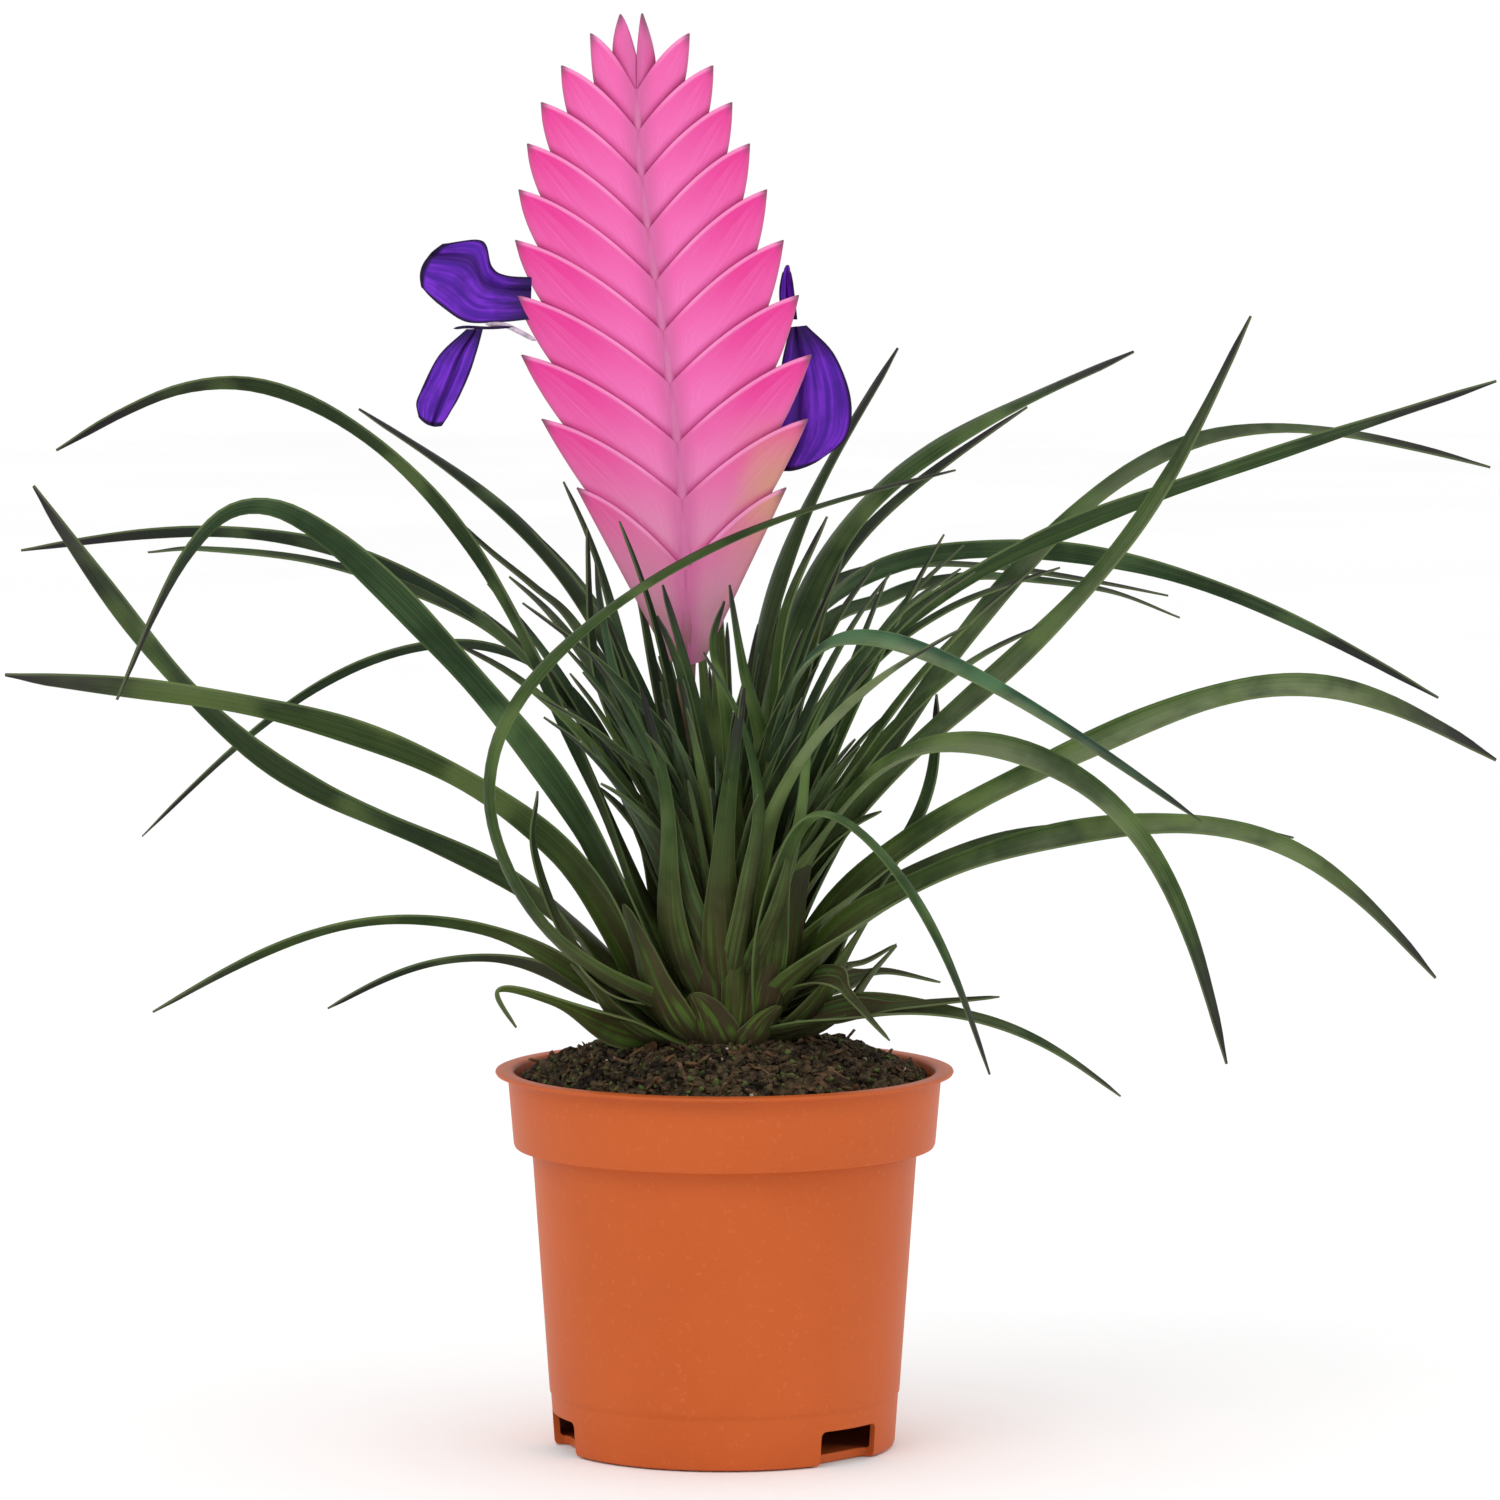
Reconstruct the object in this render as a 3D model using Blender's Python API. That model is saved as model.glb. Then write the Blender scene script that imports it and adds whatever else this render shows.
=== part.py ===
"""A flat-spiked bromeliad in a nine-centimetre nursery pot.

The origin is the centre of the pot's flat underside, +Z up, metres.
The flower spike is flat and shows its broad side towards -Y.
"""
import math

import bmesh
import bpy
import numpy as np
from mathutils import Matrix, Vector
from mathutils.bvhtree import BVHTree
from mathutils.geometry import interpolate_bezier

MM = 0.001
GAP = 0.3 * MM                      # clearance between pieces that touch

# pot: its width is set at the lip, and each step further in is a size of its own
POT_HEIGHT = 74.2 * MM
LIP_RADIUS = 45.0 * MM
LIP_WIDTH = 2.4 * MM                # how far the lip turns out from the collar
LIP_THICKNESS = 0.8 * MM
COLLAR_HEIGHT = 15.2 * MM
COLLAR_TAPER = 1.2 * MM             # narrowing from the lip to the collar's lower edge
COLLAR_STEP = 3.5 * MM              # from the collar in to the body
BODY_TAPER = 4.4 * MM               # narrowing from the collar to the base
POT_WALL = 1.2 * MM
POT_FLOOR = 1.6 * MM
NOTCH_WIDTH = 15.4 * MM
NOTCH_HEIGHT = 6.8 * MM
NOTCH_DEPTH = 3.6 * MM
NOTCH_COUNT = 3
FIRST_NOTCH_ANGLE = -43.0           # degrees from +X
POT_SEGMENTS = 42

# soil
SOIL_BELOW_RIM = 2.8 * MM           # where the soil meets the pot's wall
SOIL_MOUND = 8.6 * MM               # how far its middle stands above that
SHOULDER_SHARE = 0.6                # the mound's shoulder: its share of the radius
SHOULDER_RISE = 0.8                 # and of the mound's height
SOIL_SEGMENTS = 32

# crown: the short rootstock, a blunt cone that stands in the soil
CROWN_RADIUS = 10.0 * MM
CROWN_TOP_RADIUS = 4.2 * MM
CROWN_HEIGHT = 15.0 * MM            # above the soil
CROWN_DEPTH = 12.0 * MM             # below the soil
CROWN_TIP_RADIUS = 5.0 * MM
CROWN_SEGMENTS = 20

# leaves
LEAF_THICKNESS = 0.9 * MM
LEAF_EDGE = 0.5 * MM
LEAF_FOLD = 0.22                    # depth of the channel as a share of the width
SHEATH_WIDTH = 4.6 * MM             # at the seat on the crown
SHEATH_SHARE = 0.2                  # share of the length over which the sheath widens
TIP_WIDTH = 1.0 * MM
LEAF_STATIONS = 15
SEAT_CLEARANCE = 1.4 * MM           # from the crown's skin to the middle of a leaf's seat
TIER_SHARES = (0.92, 0.75, 0.58, 0.40, 0.22, 0.06)   # height of each ring of seats on the crown
SEAT_TURNS = (0, 4, -4, 8, -8, 12, -12, 16, -16, 20, -20, 25, -25)

# Leaves: name, tier of the seat (0 is the innermost ring), azimuth of the seat in degrees, width in mm,
# then points along the midrib in mm from the middle of the crown at the soil line
LEAVES = (
    ("right_rear_high", 0, 10, 5, ((16, 2, 62), (45, 14, 89), (92, 32, 108), (155, 50, 127))),
    ("right_rear_rising", 0, 55, 6, ((9, 13, 66), (26, 26, 102), (60, 40, 124), (82, 48, 133))),
    ("left_rear_rising", 0, 135, 5, ((-17, 18, 66), (-42, 40, 100), (-74, 58, 121))),
    ("right_blue", 0, 315, 7, ((9, -10, 56), (23, -34, 81), (56, -52, 71), (90, -62, 49))),
    ("right_rear_arch", 1, 75, 6, ((11, 26, 70), (29, 56, 89), (79, 76, 90), (147, 88, 60))),
    ("left_high_arch", 1, 188, 6, ((-32, 5, 65), (-58, 18, 107), (-100, 28, 128), (-133, 32, 114))),
    ("right_inner_front", 1, 300, 6, ((10, -26, 47), (30, -50, 75), (46, -62, 86))),
    ("right_straight", 2, 8, 7, ((21, 4, 37), (50, 14, 66), (80, 20, 97), (104, 24, 141))),
    ("rear_upright", 2, 95, 4, ((3, 22, 54), (14, 50, 97), (35, 66, 133))),
    ("left_rear_long", 2, 160, 6, ((-24, 10, 58), (-55, 30, 86), (-99, 50, 97), (-143, 64, 92))),
    ("right_front_droop", 2, 325, 9, ((18, -12, 38), (40, -32, 60), (72, -50, 52), (95, -62, 3))),
    ("right_dark_arch", 3, 30, 9, ((17, 8, 27), (48, 32, 76), (96, 50, 115), (155, 62, 109))),
    ("rear_dark_thin", 3, 68, 5, ((9, 34, 62), (30, 66, 97), (62, 88, 120))),
    ("left_rear_drooping", 3, 138, 4, ((-17, 14, 46), (-41, 36, 73), (-70, 56, 71), (-120, 80, 32))),
    ("left_broad_arch", 3, 205, 10, ((-26, -12, 43), (-56, -28, 83), (-91, -42, 108), (-115, -50, 71))),
    ("front_left_sheath", 3, 238, 7, ((-10, -15, 20), (-11, -25, 47), (-16, -22, 71))),
    ("front_sheath", 3, 270, 8, ((0, -17, 22), (1, -31, 52), (4, -34, 72))),
    ("front_thin_arch", 3, 296, 6, ((9, -20, 28), (17, -36, 48), (36, -60, 35), (50, -70, 2))),
    ("right_broad", 3, 350, 10, ((28, 0, 31), (67, 0, 55), (117, 0, 69), (151, 0, 55))),
    ("right_short", 4, 30, 6, ((25, 8, 23), (41, 20, 49), (42, 24, 66))),
    ("rear_low_thin", 4, 90, 4, ((14, 56, 80), (50, 92, 87), (92, 104, 80))),
    ("left_steep", 4, 170, 7, ((-38, 4, 30), (-86, 8, 53), (-118, 12, 84), (-136, 14, 108))),
    ("left_broad_low", 4, 200, 9, ((-27, -12, 35), (-72, -24, 64), (-137, -40, 75))),
    ("front_left_curl", 4, 230, 6,
     ((-30, -22, 19), (-45, -36, 57), (-16, -28, 91), (45, -4, 112))),
    ("right_broad_low", 4, 338, 10, ((23, -12, 21), (66, -24, 42), (108, -35, 41), (136, -42, 17))),
    ("left_low_arch", 5, 192, 6, ((-32, -12, 18), (-68, -20, 26), (-110, -30, 9))),
    ("left_low_rear", 5, 155, 5, ((-32, 16, 12), (-61, 32, 11), (-80, 42, 1))),
    ("left_hooked", 5, 222, 4, ((-27, -17, 8), (-44, -27, 12), (-40, -30, 6))),
    ("right_low", 5, 322, 5, ((28, -16, 7), (62, -34, 3), (76, -40, -6))),
)

# spike
STALK_RADIUS = 2.1 * MM
STALK_TOP_RADIUS = 0.8 * MM
STALK_TOP = 186.0 * MM              # above the soil line, as all the heights below
STALK_STATIONS = 14
STALK_SIDES = 8
STALK_LINE = ((0, 0), (-7.5, 70), (-10, 125), (-15, 160), (-16.5, 196))   # x and height in mm
SPIKE_FOOT = 60.0 * MM
SPIKE_WIDEST = 128.0 * MM
SPIKE_TOP = 201.0 * MM
SPIKE_REACH = 28.0 * MM             # half the spike's greatest width
BRACT_COUNT = 10                    # in each rank
BRACT_THICKNESS = 0.5 * MM
BRACT_OPENING = 0.15                # half-opening of the fold as a share of its depth
BRACT_STATIONS = 9
FOLD_START = 1.6                    # where a fold leaves the stalk, as a share of the stalk's radius
FOLD_BELLY = 0.8                    # how far out the fold swings, as a share of its reach
FOLD_UPRIGHT = 0.45                 # share of the rise over which the fold ends upright
STRAIGHT_BELLY = 0.35               # in a straight fold: shares of its length that guide the curve
STRAIGHT_SHOULDER = 0.7
WING_SEAM = 0.45                    # share of the rise over which the wings meet over the stalk
WING_SHOULDER = 0.4                 # how far the wing's edge is lifted between there and the tip
WING_REACH = 0.45                   # and where, as a share of the way from the foot to the tip
WING_LIFT = 0.02                    # height of the wing's ends over the fold's, as a share of the rise
HIGHEST_BRACT = 197.0 * MM          # height of the topmost pair's tips
FIRST_SPACING = 6.2 * MM            # between tips, at the top of the spike
SPACING_GROWTH = 0.9 * MM
SHORT_BRACT = 19.0 * MM             # rise of the topmost bract, from its foot to its tip
LONG_BRACT = 34.0 * MM              # and of the lowest
BUD_FOOT = 187.5 * MM
BUD_WIDTH = 4.6 * MM
BUD_THICKNESS = 1.2 * MM
BUD_END = 0.15                      # width of its blunt ends as a share of its width
BUD_EDGE = 0.2                      # thickness of its edges as a share of its thickness
BUD_BELLY = 0.44                    # how far up it is widest

# flowers: side of the spike, height of the throat, and petals, each with its name, width in mm and
# points along the midrib in mm from the throat, as (outward, back, up)
THROAT_CLEARANCE = 1.7 * MM         # from the spike's edge to the throat
PETAL_THICKNESS = 0.5 * MM
PETAL_FOLD = 0.12
PETAL_STATIONS = 8
CLAW_WIDTH = 2.2 * MM
FLOWERS = (
    ("left", -1, 143.5 * MM, (
        ("upper", 14, ((0, -2, 1.5), (8.5, -5, 5.5), (16.5, -6, 6.5))),
        ("lower", 8, ((0, -2.5, -2), (6.5, -7, -8.5), (15.5, -9, -21.5))),
        ("rear", 10, ((0, 2, 0), (6.5, 7, 2.5), (12.5, 13, -0.5))),
    )),
    ("right", 1, 142.0 * MM, (
        ("front", 12, ((0, 2, 0), (2.5, 4.5, -10), (-1, 6, -25))),
        ("lower", 9, ((1, 4.5, 0), (6, 10, -4), (8, 14, -13))),
        ("rear", 9, ((-1, 4, 3), (-1, 10, 8), (-5, 16, 9))),
    )),
)

COLORS = {
    "pot": ((0.72, 0.20, 0.06), 0.42),
    "soil": ((0.05, 0.035, 0.02), 0.95),
    "crown": ((0.16, 0.10, 0.05), 0.8),
    "stalk": ((0.30, 0.18, 0.10), 0.5),
    "leaf": ((0.07, 0.15, 0.045), 0.45),
    "bract": ((0.78, 0.10, 0.38), 0.4),
    "petal": ((0.10, 0.02, 0.42), 0.5),
}

COLLAR_TOP_RADIUS = LIP_RADIUS - LIP_WIDTH
COLLAR_LOW_RADIUS = COLLAR_TOP_RADIUS - COLLAR_TAPER
BODY_TOP_RADIUS = COLLAR_LOW_RADIUS - COLLAR_STEP
BASE_RADIUS = BODY_TOP_RADIUS - BODY_TAPER
STEP_HEIGHT = POT_HEIGHT - COLLAR_HEIGHT
SOIL_LINE = POT_HEIGHT - SOIL_BELOW_RIM + SOIL_MOUND    # the soil's surface at the crown


def clear_scene():
    for existing in list(bpy.data.objects):
        bpy.data.objects.remove(existing, do_unlink=True)


def material_for(name):
    material = bpy.data.materials.get(name)
    if material is None:
        color, roughness = COLORS[name]
        material = bpy.data.materials.new(name)
        material.use_nodes = True
        shader = material.node_tree.nodes["Principled BSDF"]
        shader.inputs["Base Color"].default_value = (*color, 1.0)
        shader.inputs["Roughness"].default_value = roughness
        shader.inputs["Metallic"].default_value = 0.0
    return material


def object_from_bmesh(name, mesh_data, material_name):
    bmesh.ops.recalc_face_normals(mesh_data, faces=mesh_data.faces[:])
    mesh = bpy.data.meshes.new(name)
    mesh_data.to_mesh(mesh)
    mesh_data.free()
    mesh.shade_smooth()
    mesh.set_sharp_from_angle(angle=math.radians(40))
    mesh.materials.append(material_for(material_name))
    made = bpy.data.objects.new(name, mesh)
    bpy.context.collection.objects.link(made)
    return made


def turned(name, profile, segments, material_name):
    """A solid of revolution: the profile is (radius, height) points from axis to axis."""
    turning = bmesh.new()
    vertices = [turning.verts.new((radius, 0.0, height)) for radius, height in profile]
    edges = [turning.edges.new(pair) for pair in zip(vertices, vertices[1:])]
    bmesh.ops.spin(turning, geom=vertices + edges, axis=(0, 0, 1), cent=(0, 0, 0),
                   angle=math.tau, steps=segments, use_merge=True)
    bmesh.ops.remove_doubles(turning, verts=turning.verts[:], dist=0.001 * MM)
    return object_from_bmesh(name, turning, material_name)


def box(name, size):
    block = bmesh.new()
    bmesh.ops.create_cube(block, size=1.0, matrix=Matrix.Diagonal((*size, 1.0)))
    return object_from_bmesh(name, block, "pot")


def smooth_line(points, count):
    """Evenly spread points on the natural cubic spline through the given ones, and its directions."""
    points = np.array(points, dtype=float)
    steps = np.linalg.norm(np.diff(points, axis=0), axis=1)
    places = np.concatenate(([0.0], np.cumsum(steps)))
    last = len(points) - 1
    system = np.eye(last + 1)
    bends = np.zeros_like(points)
    for index in range(1, last):
        before, after = steps[index - 1], steps[index]
        system[index, index - 1:index + 2] = before, 2 * (before + after), after
        bends[index] = 6 * ((points[index + 1] - points[index]) / after
                            - (points[index] - points[index - 1]) / before)
    bends = np.linalg.solve(system, bends)
    line, directions = [], []
    for place in np.linspace(0.0, places[-1], count):
        index = min(int(np.searchsorted(places, place, side="right")) - 1, last - 1)
        span = steps[index]
        ahead = (place - places[index]) / span
        behind = 1.0 - ahead
        line.append(Vector(behind * points[index] + ahead * points[index + 1]
                           + span * span / 6 * ((behind ** 3 - behind) * bends[index]
                                                + (ahead ** 3 - ahead) * bends[index + 1])))
        directions.append(Vector((points[index + 1] - points[index]) / span
                                 + span / 6 * ((1 - 3 * behind ** 2) * bends[index]
                                               + (3 * ahead ** 2 - 1) * bends[index + 1])).normalized())
    return line, directions


def solid_between(name, inner, outer, material_name):
    """A thin folded solid between two lists of stations, each (left edge, fold, right edge)."""
    sheet = bmesh.new()
    rings = [[sheet.verts.new(point) for point in (*upper, *reversed(lower))]
             for upper, lower in zip(inner, outer)]
    for ring, following in zip(rings, rings[1:]):
        for edge, fold in ((0, 1), (2, 1), (3, 4), (5, 4)):   # both walls split along the same diagonals
            sheet.faces.new((ring[edge], ring[fold], following[fold]))
            sheet.faces.new((ring[edge], following[fold], following[edge]))
        for edge, beyond in ((2, 3), (5, 0)):
            sheet.faces.new((ring[edge], ring[beyond], following[beyond], following[edge]))
    for ring in (rings[0], rings[-1]):
        sheet.faces.new((ring[0], ring[1], ring[4], ring[5]))
        sheet.faces.new((ring[1], ring[2], ring[3], ring[4]))
    return object_from_bmesh(name, sheet, material_name)


def channel_stations(line, directions, side, widths, fold, thickness, edge, grow=0.0):
    """Inner and outer stations of a channelled blade that follows a line.

    side is the width's direction at the foot; it is carried along the line without twisting.
    """
    inner, outer = [], []
    for point, direction, width in zip(line, directions, widths):
        side = (side - direction * side.dot(direction)).normalized()
        normal = direction.cross(side)
        half = side * (width / 2 + grow)
        rise = normal * (fold * width)
        inner.append((point - half + rise + normal * (edge / 2 + grow),
                      point + normal * (thickness / 2 + grow),
                      point + half + rise + normal * (edge / 2 + grow)))
        outer.append((point - half + rise - normal * (edge / 2 + grow),
                      point - normal * (thickness / 2 + grow),
                      point + half + rise - normal * (edge / 2 + grow)))
    return inner, outer


def surface_tree(made):
    """The object's surface, for clearance tests."""
    shape = bmesh.new()
    shape.from_mesh(made.data)
    tree = BVHTree.FromBMesh(shape)
    shape.free()
    return tree


def crown_radius(height):
    return CROWN_RADIUS + (CROWN_TOP_RADIUS - CROWN_RADIUS) * height / CROWN_HEIGHT


def make_pot():
    profile = (
        (0.0, 0.0),
        (BASE_RADIUS, 0.0),
        (BODY_TOP_RADIUS, STEP_HEIGHT),
        (COLLAR_LOW_RADIUS, STEP_HEIGHT),
        (COLLAR_TOP_RADIUS, POT_HEIGHT - LIP_THICKNESS),
        (LIP_RADIUS, POT_HEIGHT - LIP_THICKNESS),
        (LIP_RADIUS, POT_HEIGHT),
        (COLLAR_TOP_RADIUS - POT_WALL, POT_HEIGHT),
        (COLLAR_LOW_RADIUS - POT_WALL, STEP_HEIGHT + POT_WALL),
        (BODY_TOP_RADIUS - POT_WALL, STEP_HEIGHT + POT_WALL),
        (BASE_RADIUS - POT_WALL, POT_FLOOR),
        (0.0, POT_FLOOR),
    )
    pot = turned("pot", profile, POT_SEGMENTS, "pot")
    for index in range(NOTCH_COUNT):
        cutter = box(f"notch_cutter_{index + 1}", (2 * NOTCH_DEPTH, NOTCH_WIDTH, 2 * NOTCH_HEIGHT))
        turn = Matrix.Rotation(math.radians(FIRST_NOTCH_ANGLE) + math.tau * index / NOTCH_COUNT, 4, "Z")
        cutter.matrix_world = turn @ Matrix.Translation((BASE_RADIUS, 0.0, 0.0))
        cutter.hide_render = True
        cutter.display_type = "WIRE"
        cut = pot.modifiers.new(f"notch_{index + 1}", "BOOLEAN")
        cut.operation = "DIFFERENCE"
        cut.solver = "EXACT"
        cut.object = cutter
    return pot


def make_soil():
    edge_height = POT_HEIGHT - SOIL_BELOW_RIM
    share = SOIL_BELOW_RIM / COLLAR_HEIGHT
    edge_radius = COLLAR_TOP_RADIUS - COLLAR_TAPER * share
    wall = POT_WALL + GAP
    profile = (
        (0.0, POT_FLOOR + GAP),
        (BASE_RADIUS - wall, POT_FLOOR + GAP),
        (BODY_TOP_RADIUS - wall, STEP_HEIGHT + wall),
        (COLLAR_LOW_RADIUS - wall, STEP_HEIGHT + wall),
        (edge_radius - wall, edge_height),
        (SHOULDER_SHARE * edge_radius, edge_height + SHOULDER_RISE * SOIL_MOUND),
        (CROWN_RADIUS + GAP, SOIL_LINE),
        (CROWN_TIP_RADIUS + GAP, SOIL_LINE - CROWN_DEPTH - GAP),
        (0.0, SOIL_LINE - CROWN_DEPTH - GAP),
    )
    return turned("soil", profile, SOIL_SEGMENTS, "soil")


def make_crown():
    profile = (
        (0.0, SOIL_LINE - CROWN_DEPTH),
        (CROWN_TIP_RADIUS, SOIL_LINE - CROWN_DEPTH),
        (CROWN_RADIUS, SOIL_LINE),
        (CROWN_TOP_RADIUS, SOIL_LINE + CROWN_HEIGHT),
        (0.0, SOIL_LINE + CROWN_HEIGHT),
    )
    return turned("crown", profile, CROWN_SEGMENTS, "crown")


def stalk_point(height):
    """The middle of the stalk at a height above the soil line."""
    xs = [x * MM for x, _ in STALK_LINE]
    heights = [up * MM for _, up in STALK_LINE]
    curve = np.polyfit(heights, xs, len(xs) - 1)
    return Vector((float(np.polyval(curve, height)), 0.0, SOIL_LINE + height))


def stalk_radius(height):
    return STALK_RADIUS + (STALK_TOP_RADIUS - STALK_RADIUS) * height / SPIKE_TOP


def make_stalk():
    foot = CROWN_HEIGHT + GAP
    stalk = bmesh.new()
    rings = []
    for station in range(STALK_STATIONS):
        height = foot + (STALK_TOP - foot) * station / (STALK_STATIONS - 1)
        middle = stalk_point(height)
        radius = stalk_radius(height)
        angles = [math.tau * side / STALK_SIDES for side in range(STALK_SIDES)]
        rings.append([stalk.verts.new(middle + radius * Vector((math.cos(a), math.sin(a), 0.0)))
                      for a in angles])
    for ring, following in zip(rings, rings[1:]):
        for corner in range(STALK_SIDES):
            beside = (corner + 1) % STALK_SIDES
            stalk.faces.new((ring[corner], ring[beside], following[beside], following[corner]))
    stalk.faces.new(rings[0])
    stalk.faces.new(rings[-1])
    return object_from_bmesh("flower_stalk", stalk, "stalk")


def spike_reach(height):
    """Half the spike's width at a height: rounded above its widest place, tapered below."""
    if height < SPIKE_WIDEST:
        return SPIKE_REACH * (height - SPIKE_FOOT) / (SPIKE_WIDEST - SPIKE_FOOT)
    share = (height - SPIKE_WIDEST) / (SPIKE_TOP - SPIKE_WIDEST)
    return SPIKE_REACH * math.sqrt(1.0 - share * share)


def make_bract(name, direction, tip_height, rise, straightness):
    """One folded bract: its fold is the outer curve, and its two wings reach back over the stalk.

    straightness is 0 for a fold that swings out and ends upright, 1 for a nearly straight one.
    """
    foot_height = tip_height - rise
    reach = spike_reach(tip_height)
    foot = stalk_point(foot_height)
    radius = stalk_radius(foot_height)
    out = Vector((direction, 0.0, 0.0))
    up = Vector((0.0, 0.0, rise))
    start = foot + out * (FOLD_START * radius + GAP)
    tip = stalk_point(tip_height) + out * reach
    belly = (foot + out * (FOLD_BELLY * reach)).lerp(start.lerp(tip, STRAIGHT_BELLY), straightness)
    shoulder = (tip - up * FOLD_UPRIGHT).lerp(start.lerp(tip, STRAIGHT_SHOULDER), straightness)
    folds = interpolate_bezier(start, belly, shoulder, tip, BRACT_STATIONS)
    seam = out * (GAP / 2)
    edges = interpolate_bezier(foot + seam + up * WING_LIFT,
                               stalk_point(foot_height + WING_SEAM * rise) + seam,
                               foot.lerp(tip, WING_REACH) + up * WING_SHOULDER,
                               tip - out * BRACT_THICKNESS + up * WING_LIFT,
                               BRACT_STATIONS)
    inner, outer = [], []
    for index, (fold, edge) in enumerate(zip(folds, edges)):
        share = index / (BRACT_STATIONS - 1)
        opening = (radius + GAP) * (1.0 - share) + BRACT_OPENING * (edge - fold).length
        sideways = Vector((0.0, opening + BRACT_THICKNESS / 4, 0.0))
        wall = Vector((0.0, BRACT_THICKNESS, 0.0))
        away = (fold - edge).normalized() * (2 * BRACT_THICKNESS)
        inner.append((edge - sideways, fold, edge + sideways))
        outer.append((edge - sideways - wall, fold + away, edge + sideways + wall))
    return solid_between(name, inner, outer, "bract")


def make_bracts():
    """Two ranks of bracts, closer and shorter towards the top of the spike."""
    made = []
    tip_height = HIGHEST_BRACT
    for index in range(BRACT_COUNT):
        share = index / (BRACT_COUNT - 1)
        rise = SHORT_BRACT + (LONG_BRACT - SHORT_BRACT) * share
        for side, direction in (("left", -1), ("right", 1)):
            name = f"bract_{side}_{index + 1}"
            made.append(make_bract(name, direction, tip_height, rise, share ** 2))
        tip_height -= FIRST_SPACING + SPACING_GROWTH * index
    return made


def make_bud():
    """The closed bracts at the spike's tip: a small flat spindle."""
    inner, outer = [], []
    for index in range(BRACT_STATIONS):
        share = index / (BRACT_STATIONS - 1)
        middle = stalk_point(BUD_FOOT + (SPIKE_TOP - BUD_FOOT) * share)
        span = BUD_BELLY if share < BUD_BELLY else 1.0 - BUD_BELLY
        reach = abs(share - BUD_BELLY) / span
        swell = BUD_END + (1.0 - BUD_END) * math.cos(math.pi / 2 * reach)
        half_width = Vector((BUD_WIDTH / 2 * swell, 0.0, 0.0))
        half_thickness = Vector((0.0, BUD_THICKNESS / 2 * swell, 0.0))
        edge = half_thickness * BUD_EDGE
        inner.append((middle - half_width - edge, middle - half_thickness, middle + half_width - edge))
        outer.append((middle - half_width + edge, middle + half_thickness, middle + half_width + edge))
    return solid_between("bract_top", inner, outer, "bract")


def petal_width(share, width):
    """Narrow at the claw, widest past the middle and rounded at the end."""
    swell = math.sin(math.pi * min(0.9, share ** 1.5))
    return CLAW_WIDTH + (width - CLAW_WIDTH) * swell


def make_petals():
    made = []
    for flower, direction, height, petals in FLOWERS:
        outward = direction * (spike_reach(height) + THROAT_CLEARANCE)
        throat = stalk_point(height) + Vector((outward, 0.0, 0.0))
        for name, width, points in petals:
            places = [(throat.x + direction * out * MM, throat.y + back * MM, throat.z + up * MM)
                      for out, back, up in points]
            line, directions = smooth_line(places, PETAL_STATIONS)
            widths = [petal_width(index / (PETAL_STATIONS - 1), width * MM)
                      for index in range(PETAL_STATIONS)]
            side = directions[0].cross(Vector((0, 1, 0)))
            stations = channel_stations(line, directions, side, widths, PETAL_FOLD,
                                        PETAL_THICKNESS, PETAL_THICKNESS)
            made.append(solid_between(f"petal_{flower}_{name}", *stations, "petal"))
    return made


def leaf_width(share, width):
    """The sheath widens to the blade's full width, and the blade tapers to the tip."""
    if share < SHEATH_SHARE:
        return SHEATH_WIDTH + (width - SHEATH_WIDTH) * share / SHEATH_SHARE
    return TIP_WIDTH + (width - TIP_WIDTH) * ((1.0 - share) / (1.0 - SHEATH_SHARE)) ** 0.75


def leaf_stations(tier, azimuth, width, points, grow=0.0):
    height = CROWN_HEIGHT * TIER_SHARES[tier]
    angle = math.radians(azimuth)
    radius = crown_radius(height) + SEAT_CLEARANCE
    seat = (radius * math.cos(angle), radius * math.sin(angle), SOIL_LINE + height)
    places = [(x * MM, y * MM, SOIL_LINE + up * MM) for x, y, up in points]
    line, directions = smooth_line((seat, *places), LEAF_STATIONS)
    widths = [leaf_width(index / (LEAF_STATIONS - 1), width) for index in range(LEAF_STATIONS)]
    side = Vector((-math.sin(angle), math.cos(angle), 0.0))
    return channel_stations(line, directions, side, widths, LEAF_FOLD, LEAF_THICKNESS, LEAF_EDGE, grow)


def make_leaves(neighbours):
    """Each leaf's seat turns round the crown, in small steps, until the leaf clears its neighbours."""
    trees = [surface_tree(made) for made in neighbours]
    for name, tier, azimuth, width, points in LEAVES:
        for turn in SEAT_TURNS:
            grown = leaf_stations(tier, azimuth + turn, width * MM, points, GAP)
            trial = solid_between("trial", *grown, "leaf")
            tree = surface_tree(trial)
            bpy.data.objects.remove(trial, do_unlink=True)
            if not any(tree.overlap(placed) for placed in trees):
                break
        stations = leaf_stations(tier, azimuth + turn, width * MM, points)
        leaf = solid_between(f"leaf_{name}", *stations, "leaf")
        trees.append(surface_tree(leaf))


clear_scene()
pot = make_pot()
soil = make_soil()
crown = make_crown()
stalk = make_stalk()
bracts = make_bracts()
bud = make_bud()
petals = make_petals()
make_leaves([pot, soil, crown, stalk, *bracts, bud, *petals])
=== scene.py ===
import math

import bmesh
import bpy
import numpy as np
from mathutils import Euler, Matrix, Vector, noise


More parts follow.
